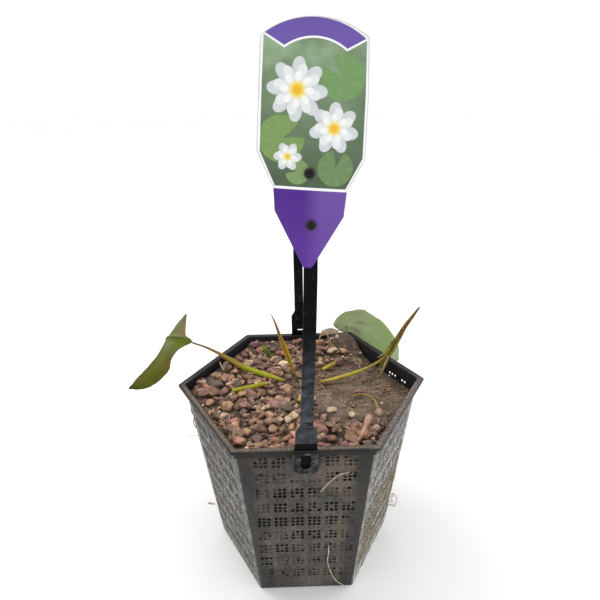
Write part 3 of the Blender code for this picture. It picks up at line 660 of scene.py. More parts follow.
BOX_FACES = ((3, 2, 1, 0), (4, 5, 6, 7), (0, 1, 5, 4), (1, 2, 6, 5), (2, 3, 7, 6), (3, 0, 4, 7))


def cut_boxes(piece, boxes):
    """Cuts boxes, each given by its centre and size, out of a piece."""
    points, faces = [], []
    for centre, size in boxes:
        start = len(points)
        for w in (-0.5, 0.5):
            for u, v in ((-0.5, -0.5), (0.5, -0.5), (0.5, 0.5), (-0.5, 0.5)):
                points.append([(c + share * s) * MM for c, share, s in zip(centre, (u, v, w), size)])
        faces += [tuple(start + k for k in f) for f in BOX_FACES]
    mesh = bpy.data.meshes.new("cutter")
    mesh.from_pydata(points, [], faces)
    cutter = add("cutter", mesh)
    step = add_modifier(piece, "BOOLEAN", object=cutter, operation="DIFFERENCE", solver="EXACT")
    graph = bpy.context.evaluated_depsgraph_get()
    cut = bpy.data.meshes.new_from_object(piece.evaluated_get(graph), preserve_all_data_layers=True,
        depsgraph=graph)
    piece.modifiers.remove(step)
    piece.data = cut
    bpy.data.objects.remove(cutter, do_unlink=True)


def between(corners, u, v):
    """A place in a patch with four corners."""
    a, b, c, d = corners
    return (a * (1 - u) + b * u) * (1 - v) + (d * (1 - u) + c * u) * v


def silt_plugs(plugs):
    """Silt in the clogged holes: a small uneven patch in each, a little below the wall's face."""
    rng = random.Random(11)
    points, faces, tints = [], [], []
    for hole in plugs:
        corners = [np.array(p) for p in hole]
        sunk = rng.uniform(0.08, 0.38) if rng.random() < 0.8 else rng.uniform(0.4, 0.7)
        # Painted shade: patches sunk deeper into their holes are darker.
        shade = rng.uniform(0.6, 1.2) if sunk < 0.39 else rng.uniform(0.2, 0.6)
        sheets = [(sunk, shade, 1)]
        # Painted shade: a near-black sheet behind, facing the inside.
        if hole[0][2] > BACKED_Z:
            sheets.append((0.85, 0.08, -1))
        for depth, light, turn in sheets:
            start = len(points)
            for row in range(3):
                for column in range(3):
                    u, v = column / 2, row / 2
                    deep = depth + rng.uniform(-0.06, 0.08)
                    near, far = between(corners[:4], u, v), between(corners[4:], u, v)
                    points.append(near + (far - near) * deep)
                    tints.append((light, light, light))
            faces += [tuple(start + k for k in f)[::turn] for f in grid_faces(3, 3)]
    make_piece("clogged_holes", points, faces, wall_silt(), tints=np.array(tints))


def brackets():
    """The U shaped plates that hold the clips, each with its window."""
    for side, name in ((-1, "bracket_front"), (1, "bracket_back")):
        half = BRACKET_W / 2
        top = RIM_Z - FLANGE_T + 0.2
        outline = [(-half, top)]
        for k in range(7):
            a = radians(15 * k)
            outline.append((-half + BRACKET_CORNER * (1 - cos(a)),
                BRACKET_FOOT_Z + BRACKET_CORNER * (1 - sin(a))))
        outline += [(-u, v) for u, v in reversed(outline)]
        window = []
        width, height = BRACKET_SLOT
        for u, v, first in ((1, -1, 270), (1, 1, 0), (-1, 1, 90), (-1, -1, 180)):
            bend = 2.4 if v < 0 else 0.6
            for k in range(5):
                a = radians(first + 22.5 * k)
                window.append((u * (width / 2 - bend) + bend * cos(a),
                    BRACKET_SLOT_Z + v * (height / 2 - bend) + bend * sin(a)))
        inner = wall_radius(BRACKET_FOOT_Z) * COS30 - 0.6
        curve = bpy.data.curves.new(name, "CURVE")
        curve.dimensions = "2D"
        curve.fill_mode = "BOTH"
        curve.extrude = ((BRACKET_FACE_Y - inner) / 2 - 0.45) * MM
        curve.bevel_depth = 0.45 * MM
        curve.bevel_resolution = 2
        curve.offset = -0.45 * MM
        for loop in (outline, window):
            spline = curve.splines.new("POLY")
            spline.points.add(len(loop) - 1)
            for point, (u, v) in zip(spline.points, loop):
                point.co = (u * MM, v * MM, 0.0, 1.0)
            spline.use_cyclic_u = True
        guide = add(name + "_guide", curve)
        bpy.context.view_layer.update()
        mesh = bpy.data.meshes.new_from_object(guide.evaluated_get(bpy.context.evaluated_depsgraph_get()))
        bpy.data.objects.remove(guide, do_unlink=True)
        middle = side * (BRACKET_FACE_Y + inner) / 2
        place = Matrix.Translation(Vector((strap_x(side * FOOT_Y, FOOT_Z), middle, 0)) * MM)
        mesh.transform(place @ Matrix.Rotation(radians(90), 4, "X"))
        mesh.materials.clear()
        mesh.materials.append(bracket_plastic())
        piece = add(name, mesh)
        mesh.shade_smooth()
        mesh.set_sharp_from_angle(angle=radians(40))
        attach(piece, "root")


# Strap, card and studs

def strap_x(y, z):
    """How far to the right the hoop stands at a place, as each leg leans in its own way."""
    rise = max(z - RIM_Z, 0.0)
    front = FRONT_LEAN * rise * (1 - (rise / FRONT_TURN) ** 2)
    back = BACK_FOOT_X + BACK_LEAN * rise
    share = 0.5 + y / (2 * FOOT_Y)
    return front * (1 - share) + back * share


def half_hoop(side, lift):
    """The hoop from its front (-1) or back (+1) foot to the crown of its arch: y, z, width, thickness."""
    foot = ((FOOT_Z, CLIP_W * 0.6, CLIP_T), (FOOT_Z + 3.0, CLIP_W, CLIP_T),
        (CLIP_TOP_Z - 0.6, CLIP_W, CLIP_T), (CLIP_TOP_Z + 0.5, CLIP_W - 1.2, CLIP_T),
        (SHOULDER_Z - 1.2, STRAP_W + 1.6, STRAP_T + 0.1), (SHOULDER_Z + 0.4, STRAP_W, STRAP_T))
    route = [(side * FOOT_Y, z + lift, width, thick) for z, width, thick in foot]
    shoulder = SHOULDER_Z + 0.4 + lift
    leg_steps = 24
    for k in range(1, leg_steps + 1):
        s = k / leg_steps
        y = LEG_Y + (FOOT_Y - LEG_Y) * (1 - s) ** 4
        route.append((side * y, shoulder + (ARCH_Z - shoulder) * s, STRAP_W, STRAP_T))
    arch_steps = 22
    for k in range(1, arch_steps + 1):
        a = pi / 2 * k / arch_steps
        route.append((side * LEG_Y * cos(a), ARCH_Z + ARCH_RISE * sin(a), STRAP_W, STRAP_T))
    return route


def handle_strap():
    route = half_hoop(-1, 0.0) + half_hoop(1, BACK_LIFT)[-2::-1]
    edge = 0.35
    points, uvs = [], []
    for k, (y, z, width, thick) in enumerate(route):
        before = route[max(k - 1, 0)]
        after = route[min(k + 1, len(route) - 1)]
        along = np.array((0.0, after[0] - before[0], after[1] - before[1]))
        if min(k, len(route) - 1 - k) < 6:
            along = np.array((0.0, 0.0, 1.0 if y < 0 else -1.0))
        along /= np.linalg.norm(along)
        out = np.array((0.0, -along[2], along[1]))
        centre = np.array((strap_x(y, z), y, z))
        w, t = width / 2, thick / 2
        section = ((-w, -t + edge), (-w, t - edge), (-w + edge, t), (0, t), (w - edge, t), (w, t - edge),
            (w, -t + edge), (w - edge, -t), (0, -t), (-w + edge, -t))
        points.extend(centre + np.array((u, 0.0, 0.0)) + v * out for u, v in section)
        uvs.extend((u, z) for u, v in section)
    count = 10
    faces = grid_faces(len(route), count, wrap=True)
    faces.append(tuple(range(count))[::-1])
    faces.append(tuple((len(route) - 1) * count + k for k in range(count)))
    strap = make_piece("strap_moulding", points, faces, strap_plastic(), ["handle_strap"],
        uvs=uvs)
    cut_boxes(strap, [((BACK_SLOT_X, FOOT_Y, BACK_SLOT_Z), (BACK_SLOT[0], 3 * CLIP_T, BACK_SLOT[1]))])
    strap.data.set_sharp_from_angle(angle=radians(35))


def stud_places():
    low = np.array((strap_x(-FOOT_Y, LOWER_STUD_Z), -LEG_Y - STRAP_T / 2, LOWER_STUD_Z))
    high = low + STUD_PITCH * np.array((STUD_LEAN, 0, 1))
    return low, high


def card_outline():
    """The card's edge, counter-clockwise from the front: pointed foot, flared sides, arched top."""
    arch_r = (CARD_ARCH_HALF ** 2 + CARD_ARCH_RISE ** 2) / (2 * CARD_ARCH_RISE)
    sweep = asin(CARD_ARCH_HALF / arch_r)
    arch = []
    for k in range(25):
        a = sweep * (1 - k / 12)
        arch.append((CARD_ARCH_X + arch_r * sin(a),
            CARD_ARCH_Z + CARD_ARCH_RISE - arch_r * (1 - cos(a))))
    return list(CARD_SIDE) + arch + list(CARD_OTHER_SIDE)


def label_card():
    """The card: its outline filled, cut into strips so that it can bow, and given its thickness."""
    import bmesh
    bm = bmesh.new()
    bm.faces.new([bm.verts.new((u, 0.0, v)) for u, v in card_outline()])
    for axis, low, high, step in ((0, -29.0, 27.5, 3.5), (2, -22.0, 102.0, 8.0)):
        place = low
        while place < high:
            at, normal = [0.0, 0.0, 0.0], [0.0, 0.0, 0.0]
            at[axis], normal[axis] = place, 1.0
            bmesh.ops.bisect_plane(bm, geom=bm.verts[:] + bm.edges[:] + bm.faces[:], plane_co=at,
                plane_no=normal)
            place += step
    bm.verts.index_update()
    flat = [tuple(v.co) for v in bm.verts]
    faces = [[v.index for v in f.verts] for f in bm.faces]
    bm.free()
    low = stud_places()[0]
    front = low[1] - GAP - CARD_T / 2
    points = []
    for u, _, v in flat:
        bow = 0.0016 * u * u + 0.00012 * max(v - 20.0, 0.0) ** 2 - 0.00003 * max(v - 20.0, 0.0) * u
        turned_u = u * cos(CARD_ROLL) + v * sin(CARD_ROLL)
        turned_v = v * cos(CARD_ROLL) - u * sin(CARD_ROLL)
        points.append((low[0] + turned_u, front + bow, low[2] + turned_v))
    card = make_piece("picture_card", points, faces, card_print(), ["label_card"],
        uvs=[(u, v) for u, _, v in flat])
    add_modifier(card, "SOLIDIFY", thickness=CARD_T * 0.8 * MM, offset=0.0)
    card.data.set_sharp_from_angle(angle=radians(30))


def studs():
    """Push-through studs with a stepped head in front and a smaller one behind."""
    grip = CARD_T + STRAP_T + 3 * GAP
    profile = ((0, 2.0), (0.9, 1.95), (1.7, 1.7), (2.0, 1.25), (2.15, 1.05), (2.7, 0.95), (STUD_R, 0.6),
        (STUD_R, 0.15), (2.7, 0.0), (1.5, 0.0), (1.5, -grip), (2.3, -grip), (2.5, -grip - 0.4),
        (2.3, -grip - 1.0), (1.2, -grip - 1.3), (0, -grip - 1.35))
    sides = 28
    for name, node, place in zip(("stud_lower", "stud_upper"), ("label_stud_lower", "label_stud_upper"),
            stud_places()):
        head = place[1] - 2 * GAP - CARD_T
        points, faces, tints = [], [], []
        for radius, depth in profile[1:-1]:
            for k in range(sides):
                a = 2 * pi * k / sides
                points.append((place[0] + radius * cos(a), head - depth, place[2] + radius * sin(a)))
                # Painted highlight: the front head's outer ring is tinted nine times lighter.
                tints.append([9.0 if 2.5 < radius and depth > 0 else 1.0] * 3)
        faces = [f[::-1] for f in grid_faces(len(profile) - 2, sides, wrap=True)]
        for ring, depth, turn in ((0, profile[0][1], 1), (len(profile) - 3, profile[-1][1], -1)):
            points.append((place[0], head - depth, place[2]))
            tints.append([1.0] * 3)
            faces += [(ring * sides + k, ring * sides + (k + 1) % sides, len(points) - 1)[::turn]
                for k in range(sides)]
        stud = make_piece(name, points, faces, stud_plastic(), [node], tints=np.array(tints))
        stud.data.set_sharp_from_angle(angle=radians(50))


# Mud and gravel

def clamp(value):
    return max(0.0, min(1.0, value))


def in_bed(x, y, bare=0.0):
    """How far a place lies inside the spread of gravel: below 0 outside it, 1 well inside."""
    away = hypot(x - CROWN[0], y - CROWN[1])
    bearing = degrees(atan2(y - CROWN[1], x - CROWN[0])) % 360
    end = BED_SPAN[1] - bare * clamp((BARE_REACH - away) / 16.0)
    inside = min(bearing - BED_SPAN[0], end - bearing) / 14.0
    return min(inside, (away - BED_INNER_R) / 8.0, 1.0)


def heaped(x, y):
    """How much higher the mud and gravel lie at a place because they are heaped against the back walls."""
    rise = 0.0
    for bearing, high in HEAPS:
        a = radians(bearing)
        away = SILT_R * COS30 - (x * cos(a) + y * sin(a))
        rise = max(rise, high * max(0.0, 1 - max(away, 0.0) / HEAP_REACH) ** 1.4)
    rise *= clamp((HEAP_END - x) / 12.0)
    far = hypot(x - CORNER_HEAP[0], y - CORNER_HEAP[1])
    corner = 12.5 * max(0.0, 1 - far / CORNER_HEAP_R) + 3.5 * clamp((CORNER_CORE_R - far) / 8.0)
    return max(rise, min(CORNER_HEAP_RISE, corner))


def silt_height(x, y):
    """The mud: a low mound at the crown with a dip beside it, higher along the walls and under the gravel."""
    away = hypot(x - CROWN[0], y - CROWN[1])
    mound = CROWN_RISE * max(0.0, 1 - (away / CROWN_R) ** 2)
    near = max(0.0, 1 - from_wall(x, y) / WALL_REACH)
    bed = BED_RISE * max(0.0, in_bed(x, y))
    dip = DIP_DEPTH * exp(-(((x - DIP[0]) / DIP_HALF[0]) ** 2 + ((y - DIP[1]) / DIP_HALF[1]) ** 2))
    place = Vector((x, y, 0.0))
    ripple = sum(high * noise.noise(place * close) for close, high in RIPPLES)
    raised = heaped(x, y)
    wall = WALL_RISE * near * near * (1 - min(raised / 4.0, 1.0))
    return SILT_Z + mound + wall + bed - dip + ripple + raised


def from_wall(x, y):
    """How far a place is from the nearest wall at the mud's level, below 0 beyond it."""
    reach = max(abs(x * cos(radians(a)) + y * sin(radians(a))) for a in (30, 90, 150))
    return SILT_R * COS30 - reach


def mud_shade(x, y):
    """The mud's tint: lighter in the open, with painted shade between stones, at a wall and in the corner."""
    bed = max(0.0, in_bed(x, y, BARE_FRONT))
    far = hypot(x - CORNER_HEAP[0], y - CORNER_HEAP[1])
    corner = clamp((26.0 - far) / 10.0)
    wall = max(0.0, 1 - from_wall(x, y) / 9.0)
    share = max(0.34 * bed, 0.5 * corner, 0.55 * wall)
    open_mud = max(0.0, 1 - hypot(x - OPEN_MUD[0], y - OPEN_MUD[1]) / OPEN_MUD_R)
    light = 1.06 + 0.24 * open_mud
    return [light * (1 - brown * share) for brown in (1.0, 1.04, 1.1)]


def silt():
    """The mud's top, uneven, with its sides set back from the wall so that open holes look onto painted
    shade.
    """
    rings, spokes = 78, 300
    points, faces = [(CROWN[0], CROWN[1], silt_height(*CROWN))], []
    edge = []
    radius = SILT_R - 0.1
    for k in range(spokes):
        a = 2 * pi * k / spokes
        share = radius * COS30 / cos((a + pi / 6) % (pi / 3) - pi / 6)
        edge.append((share * cos(a + pi / 6), share * sin(a + pi / 6)))
    for r in range(1, rings + 1):
        s = r / rings
        for x, y in edge:
            px, py = CROWN[0] + (x - CROWN[0]) * s, CROWN[1] + (y - CROWN[1]) * s
            points.append((px, py, silt_height(px, py)))
    for share, z in MUD_SIDES:
        points += [(x * share, y * share, z) for x, y in edge]
    for k in range(spokes):
        faces.append((0, 1 + k, 1 + (k + 1) % spokes))
    rows = rings + len(MUD_SIDES)
    faces += [tuple(1 + k for k in f)[::-1] for f in grid_faces(rows, spokes, wrap=True)]
    last = 1 + (rows - 1) * spokes
    faces.append(tuple(last + k for k in range(spokes))[::-1])
    shades = [mud_shade(x, y) for x, y, _ in points]
    make_piece("mud", points, faces, mud(), ["silt"], tints=np.array(shades))


def sphere_directions(cuts):
    """The corners and faces of a ball of triangles, as unit vectors."""
    import bmesh
    bm = bmesh.new()
    bmesh.ops.create_icosphere(bm, subdivisions=cuts, radius=1.0)
    bm.verts.index_update()
    points = np.array([v.co[:] for v in bm.verts])
    faces = [tuple(v.index for v in f.verts) for f in bm.faces]
    bm.free()
    return points / np.linalg.norm(points, axis=1)[:, None], faces


def chip_reach(directions, normals, distances, softness):
    """How far a many-sided stone reaches in each direction, with its edges worn round."""
    share = np.maximum(directions @ np.asarray(normals).T, 0.0) / np.asarray(distances)
    return (share ** softness).sum(axis=1) ** (-1.0 / softness)


def shaded_foot_tints(look, high):
    """A stone's colour at points from -1 at its foot to 1 at its top, darker where it is sunk in: painted
    shade.
    """
    share = np.clip((np.asarray(high) + 0.75) / 1.15, 0.0, 1.0)[:, None]
    return np.asarray(look) * (0.3 + 0.7 * share * share * (3 - 2 * share))


def named_stones():
    """The stones that show best: each follows its CAD solid's faces, with worn edges and a rough skin."""
    directions, ball = sphere_directions(4)
    lumps = []
    for seed in range(STONES):
        name = "stone_%02d" % (seed + 1)
        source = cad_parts[name]
        corners = np.array([source.matrix_world @ v.co for v in source.data.vertices]) / MM
        middle = (corners.min(axis=0) + corners.max(axis=0)) / 2
        normals, distances = [], []
        for polygon in source.data.polygons:
            a, b, c = (corners[k] for k in polygon.vertices[:3])
            normal = np.cross(b - a, c - a)
            if np.linalg.norm(normal) > 1e-6:
                normal /= np.linalg.norm(normal)
                normals.append(normal)
                distances.append(max(normal @ (a - middle), 0.3))
        reach = chip_reach(directions, normals, distances, 16)
        rough = [noise.noise(Vector(d) * 2.2 + Vector((seed, 0, 0))) for d in directions]
        reach *= 1.02 + 0.03 * np.array(rough)
        points = middle + directions * reach[:, None]
        look = STONE_COLOURS[STONE_LOOKS[seed]]
        high = (points[:, 2] - middle[2]) / (points[:, 2].max() - middle[2])
        chip = make_piece("chip_%02d" % (seed + 1), points, ball, stone_skin(), [name],
            tints=shaded_foot_tints(look, high))
        chip.data.set_sharp_from_angle(angle=radians(STONE_EDGE))
        lumps.append((middle, (corners.max(axis=0) - corners.min(axis=0)) / 2))
    return lumps


class Heap:
    """A map of how high the gravel stands, which each new stone is laid on and raises."""

    def __init__(self, cell=0.7):
        self.cell = cell
        self.half = 98.0
        self.count = int(2 * self.half / cell) + 1
        self.height = np.empty((self.count, self.count))
        for i in range(self.count):
            for j in range(self.count):
                self.height[i, j] = silt_height(i * cell - self.half, j * cell - self.half)

    def patch(self, x, y, a, b, turn):
        """The cells under a lump, and how far each is from its middle, 0 to 1."""
        reach = max(a, b)
        i0, i1 = int((x - reach + self.half) / self.cell), int((x + reach + self.half) / self.cell) + 2
        j0, j1 = int((y - reach + self.half) / self.cell), int((y + reach + self.half) / self.cell) + 2
        dx = np.arange(i0, i1)[:, None] * self.cell - self.half - x
        dy = np.arange(j0, j1)[None, :] * self.cell - self.half - y
        u = (dx * cos(turn) + dy * sin(turn)) / a
        v = (dy * cos(turn) - dx * sin(turn)) / b
        away = u * u + v * v
        return slice(i0, i1), slice(j0, j1), away

    def rest(self, x, y, a, b, c, turn, sink):
        """The height at which a lump's middle comes to rest there."""
        rows, columns, away = self.patch(x, y, a, b, turn)
        held = self.height[rows, columns] + np.sqrt(np.maximum(1 - away, 0.0)) * c
        near = away < max(0.8, away.min() + 1e-6)
        return np.percentile(held[near], 80) - sink * c

    def raise_to(self, x, y, z, a, b, c, turn):
        rows, columns, away = self.patch(x, y, a, b, turn)
        top = np.where(away < 1.0, z + np.sqrt(np.maximum(1 - away, 0.0)) * c * 0.85, -1e9)
        self.height[rows, columns] = np.maximum(self.height[rows, columns], top)


def kept_clear(lumps):
    """Where loose stones stay clear of named stones and the plant's foot: x, y, height and reach."""
    keep = [(m[0], m[1], m[2] + 0.35 * half[2], 0.8 * min(half[0], half[1])) for m, half in lumps]
    for route, radii in ((STALK_LEFT, STALK_LEFT_R), (STALK_SHORT, STALK_SHORT_R),
            (STALK_RIGHT, STALK_RIGHT_R), (STUB_BACK, STUB_BACK_R), (STUB_FRONT, STUB_FRONT_R),
            (SHOOT, SHOOT_W), (LEAF_CENTRE[:2], LEAF_CENTRE_W[:2])):
        sizes = smooth_route([(r,) for r in radii], 4)[:, 0]
        keep += [(*p, r) for p, r in zip(smooth_route(route, 4).tolist(), sizes)]
    return keep


def chip_shape(rng, directions, sides, half, turn):
    """A loose stone round its own middle: flats in every direction, then tilted and turned."""
    normals = np.array([[rng.gauss(0, 1) for _ in range(3)] for _ in range(sides)])
    normals /= np.linalg.norm(normals, axis=1)[:, None]
    distances = np.array([rng.uniform(*STONE_FLATS) for _ in range(sides)])
    all_round = np.vstack([normals, np.eye(3), -np.eye(3)])
    all_far = np.concatenate([distances, np.full(6, 1.0)])
    local = directions * chip_reach(directions, all_round, all_far, 32)[:, None] * np.array(half)
    tilt_x, tilt_y = (Matrix.Rotation(rng.gauss(0, STONE_TILT), 3, axis) for axis in "XY")
    return local @ np.array(Matrix.Rotation(turn, 3, "Z") @ (tilt_x @ tilt_y)).T


def gravel(lumps):
    """The loose gravel: chips laid one by one on the mud and each other, then grains and grit between."""
    rng = random.Random(21)
    heap = Heap()
    for middle, half in lumps:
        heap.raise_to(*middle, *half, 0.0)
    keep = kept_clear(lumps)
    for name, cuts, wanted, lengths, flat, limit, sides, stray, nodes in LOOSE_STONES:
        directions, ball = sphere_directions(cuts)
        points, faces, tints = [], [], []
        made = tries = 0
        while made < wanted and tries < wanted * 8:
            tries += 1
            x, y = (rng.uniform(-half, half) for half in GRAVEL_FIELD)
            length = lengths[0] + (lengths[1] - lengths[0]) * rng.random() ** 1.4
            cover = in_bed(x, y, BARE_FRONT)
            if from_wall(x, y) < length * 0.45 + 0.4:
                continue
            if cover < 0 and not (stray and rng.random() < stray):
                continue
            if 0 <= cover < 1 and rng.random() > 0.35 + 0.65 * cover:
                continue
            a = length / 2
            b = a * rng.uniform(*STONE_BREADTH)
            c = b * rng.uniform(flat, flat + 0.4)
            turn = rng.uniform(0, pi)
            z = heap.rest(x, y, a, b, c, turn, rng.uniform(*STONE_SINK))
            roof = limit - ROOF_DIP * max(0.0, 1 - hypot(x, y - CROWN[1]) / ROOF_DIP_R)
            roof -= ROOF_EDGE if cover < 1 else 0.0
            roof += min(heaped(x, y), ROOF_HEAP)
            if z + c > roof or any((x - px) ** 2 + (y - py) ** 2 < (0.85 * a + wide) ** 2 and z + c > pz
                    for px, py, pz, wide in keep):
                continue
            heap.raise_to(x, y, z, a, b, c, turn)
            stone = chip_shape(rng, directions, sides, (a, b, c), turn)
            faces.extend(tuple(k + len(points) for k in f) for f in ball)
            points.extend(stone + np.array((x, y, z)))
            shade = rng.uniform(*STONE_LIGHT)
            look = np.array(STONE_COLOURS[rng.choice(LOOSE_LOOKS)]) * shade
            tints.extend(shaded_foot_tints(look, stone[:, 2] / c))
            made += 1
        layer = make_piece(name, points, faces, stone_skin(), nodes, tints=np.array(tints))
        layer.data.set_sharp_from_angle(angle=radians(STONE_EDGE))


# Plant

STALK_LEFT = ((-12.4, 15.2, 146.5), (-28.2, 22.3, 148.2), (-47.4, 30.9, 151.0), (-63.3, 38.1, 157.0),
    (-72.2, 42.1, 160.6), (-84.5, 47.6, 164.2), (-93.6, 51.6, 165.5), (-97.6, 52.3, 167.2))
STALK_LEFT_R = (1.2, 2.3, 2.4, 2.0, 1.4, 0.9, 0.75, 0.7)
STALK_RIGHT = ((15.7, 16.9, 143.6), (28.8, 20.0, 144.8), (39.5, 22.0, 146.6), (50.0, 24.0, 149.1),
    (58.7, 25.3, 152.3), (66.0, 26.3, 156.0), (71.0, 27.0, 160.2))
STALK_RIGHT_R = (1.1, 1.5, 1.55, 1.4, 1.25, 1.1, 0.95)
STALK_SHORT = ((-56.4, -1.4, 149.2), (-48.0, 1.2, 149.2), (-40.8, 3.8, 149.2), (-32.0, 8.0, 148.8),
    (-26.5, 10.6, 147.4))
STALK_SHORT_R = (1.8, 2.0, 1.9, 1.7, 0.9)
STALK_ROUND = ((44.2, 70.5, 152.0), (44.6, 75.0, 155.4), (45.0, 79.5, 157.5), (45.6, 85.0, 158.4),
    (46.0, 90.5, 160.0))
STALK_ROUND_R = (1.2, 1.2, 1.1, 1.0, 0.9)
STUB_BACK = ((18.9, 36.1, 144.5), (24.9, 38.7, 146.1), (31.2, 41.4, 148.1))
STUB_BACK_R = (1.1, 1.8, 1.8)
STUB_FRONT = ((-2.9, -17.4, 147.6), (-2.3, -14.5, 148.6), (-1.7, -11.5, 150.4))
STUB_FRONT_R = (1.5, 1.3, 0.5)
DRY_STALK = ((40.7, -7.0, 144.2), (43.7, -6.7, 145.0), (46.6, -5.9, 145.4), (50.3, -5.8, 144.8),
    (53.3, -7.6, 145.2), (55.6, -10.7, 144.8), (57.4, -14.7, 145.2), (58.4, -20.9, 145.0),
    (58.5, -24.9, 144.0))
DRY_STALK_R = (0.7, 1.0, 0.8, 1.05, 0.9, 1.1, 0.85, 1.05, 0.7)
LEAF_CENTRE = ((-2.4, 15.0, 144.6), (-5.2, 16.0, 152.9), (-8.3, 17.0, 161.1), (-12.2, 19.0, 172.4),
    (-16.5, 21.0, 184.6), (-19.9, 22.5, 195.9), (-23.5, 24.0, 205.0))
LEAF_CENTRE_W = (0.7, 0.9, 1.5, 2.4, 1.6, 0.9, 0.3)
LEAF_RIGHT = ((65.6, 27.0, 146.3), (69.2, 27.0, 151.9), (72.6, 27.2, 158.3), (75.0, 27.6, 163.8),
    (79.0, 28.5, 170.4), (84.0, 30.0, 178.5), (89.0, 32.0, 186.9), (94.9, 34.0, 194.7),
    (101.2, 36.0, 202.9))
LEAF_RIGHT_TAILS = (
    (((75.2, 26.4, 163.0), (72.6, 24.0, 156.5), (69.2, 21.4, 149.6), (67.4, 20.2, 146.2)),
     (1.0, 1.2, 0.9, 0.3)),
    (((73.4, 28.6, 163.0), (69.6, 30.6, 160.2), (66.8, 32.0, 157.2)), (0.9, 0.7, 0.3)))
LEAF_RIGHT_W = (0.6, 1.4, 2.2, 3.3, 3.3, 2.5, 2.0, 1.5, 0.6)
SHOOT = ((-28.0, 58.0, 147.6), (-30.0, 60.0, 150.5), (-32.0, 61.5, 153.5), (-34.5, 62.5, 156.0))
SHOOT_W = (1.0, 2.0, 1.6, 0.3)
LEAF_T = 0.7
LEAF_LEFT = (
    ((-153.4, 38.0, 129.3), (-152.9, 37.3, 129.2), (-152.4, 36.6, 129.3)),
    ((-145.9, 40.0, 137.6), (-143.5, 35.5, 133.6), (-140.5, 35.5, 129.9)),
    ((-134.4, 42.0, 148.8), (-131.8, 35.0, 141.8), (-129.0, 36.0, 134.4)),
    ((-125.7, 44.0, 158.7), (-120.9, 37.0, 152.9), (-116.4, 38.0, 146.1)),
    ((-120.5, 46.0, 166.8), (-116.4, 41.0, 161.9), (-113.6, 42.0, 155.3)),
    ((-118.6, 48.0, 170.0), (-112.6, 44.5, 167.4), (-107.1, 45.5, 163.1)),
    ((-117.6, 50.5, 173.0), (-107.4, 47.0, 173.0), (-95.7, 49.6, 168.3)),
    ((-115.6, 54.6, 173.6), (-108.4, 54.0, 173.8), (-101.0, 54.0, 173.0)),
    ((-108.5, 57.0, 182.6), (-104.6, 55.6, 183.4), (-100.2, 56.0, 183.8)),
    ((-100.4, 58.0, 191.2), (-99.8, 57.9, 191.9), (-99.1, 58.0, 191.9)),
)
LEAF_ROUND = (
    ((33.2, 88.2, 163.4), (33.5, 88.2, 162.4), (34.5, 88.3, 160.6)),
    ((38.0, 94.0, 168.0), (38.6, 91.5, 162.5), (39.7, 88.8, 155.7)),
    ((44.7, 98.3, 171.4), (45.2, 94.8, 163.4), (45.0, 89.0, 153.5)),
    ((53.0, 100.1, 172.1), (51.8, 96.4, 162.4), (50.9, 89.6, 151.7)),
    ((63.4, 100.2, 172.6), (60.2, 94.6, 160.4), (56.6, 88.6, 148.1)),
    ((72.3, 96.2, 168.2), (66.8, 89.6, 157.2), (60.8, 82.0, 146.7)),
    ((81.9, 90.5, 162.6), (74.5, 82.0, 153.8), (65.2, 74.4, 145.7)),
    ((91.1, 80.6, 152.2), (81.6, 73.8, 146.8), (70.6, 67.4, 142.6)),
    ((94.1, 72.6, 144.6), (86.2, 66.6, 141.4), (77.4, 61.6, 139.0)),
    ((92.8, 63.6, 136.4), (89.0, 61.4, 136.2), (85.0, 59.8, 136.2)),
)
DEAD_LEAF_BACK = (
    ((17.4, 70.4, 150.8), (17.9, 71.0, 151.0), (18.5, 71.7, 151.2)),
    ((18.3, 72.6, 153.2), (18.8, 74.6, 153.8), (19.5, 76.6, 154.4)),
    ((19.6, 74.6, 155.8), (20.2, 76.6, 158.0), (21.2, 79.0, 159.4)),
    ((23.2, 76.0, 157.9), (23.0, 78.5, 160.2), (23.6, 81.0, 161.1)),
    ((30.1, 79.0, 157.0), (30.1, 82.0, 159.5), (30.3, 85.0, 161.0)),
    ((37.4, 83.0, 156.4), (38.0, 85.0, 156.8), (38.9, 87.0, 156.8)),
)
DEAD_LEAF_FRONT = (
    ((46.4, -42.2, 149.8), (48.3, -46.9, 152.5), (51.5, -46.3, 149.5)),
    ((43.0, -52.8, 149.2), (44.4, -56.0, 152.0), (46.9, -55.1, 149.2)),
    ((38.5, -63.8, 149.0), (40.6, -65.6, 151.6), (43.5, -63.3, 149.0)),
    ((35.4, -70.1, 149.0), (36.7, -70.8, 150.2), (38.5, -69.8, 149.0)),
)


def loop_facing(middle, radius, tilt=0.35, start=0.0, turn=2 * pi, count=9):
    """Points on an open ring round a place, leaning back so that its hole shows from the front."""
    ring = []
    for k in range(count):
        a = start + turn * k / (count - 1)
        up = radius * sin(a)
        ring.append((middle[0] + radius * cos(a), middle[1] + tilt * up, middle[2] + up))
    return tuple(ring)


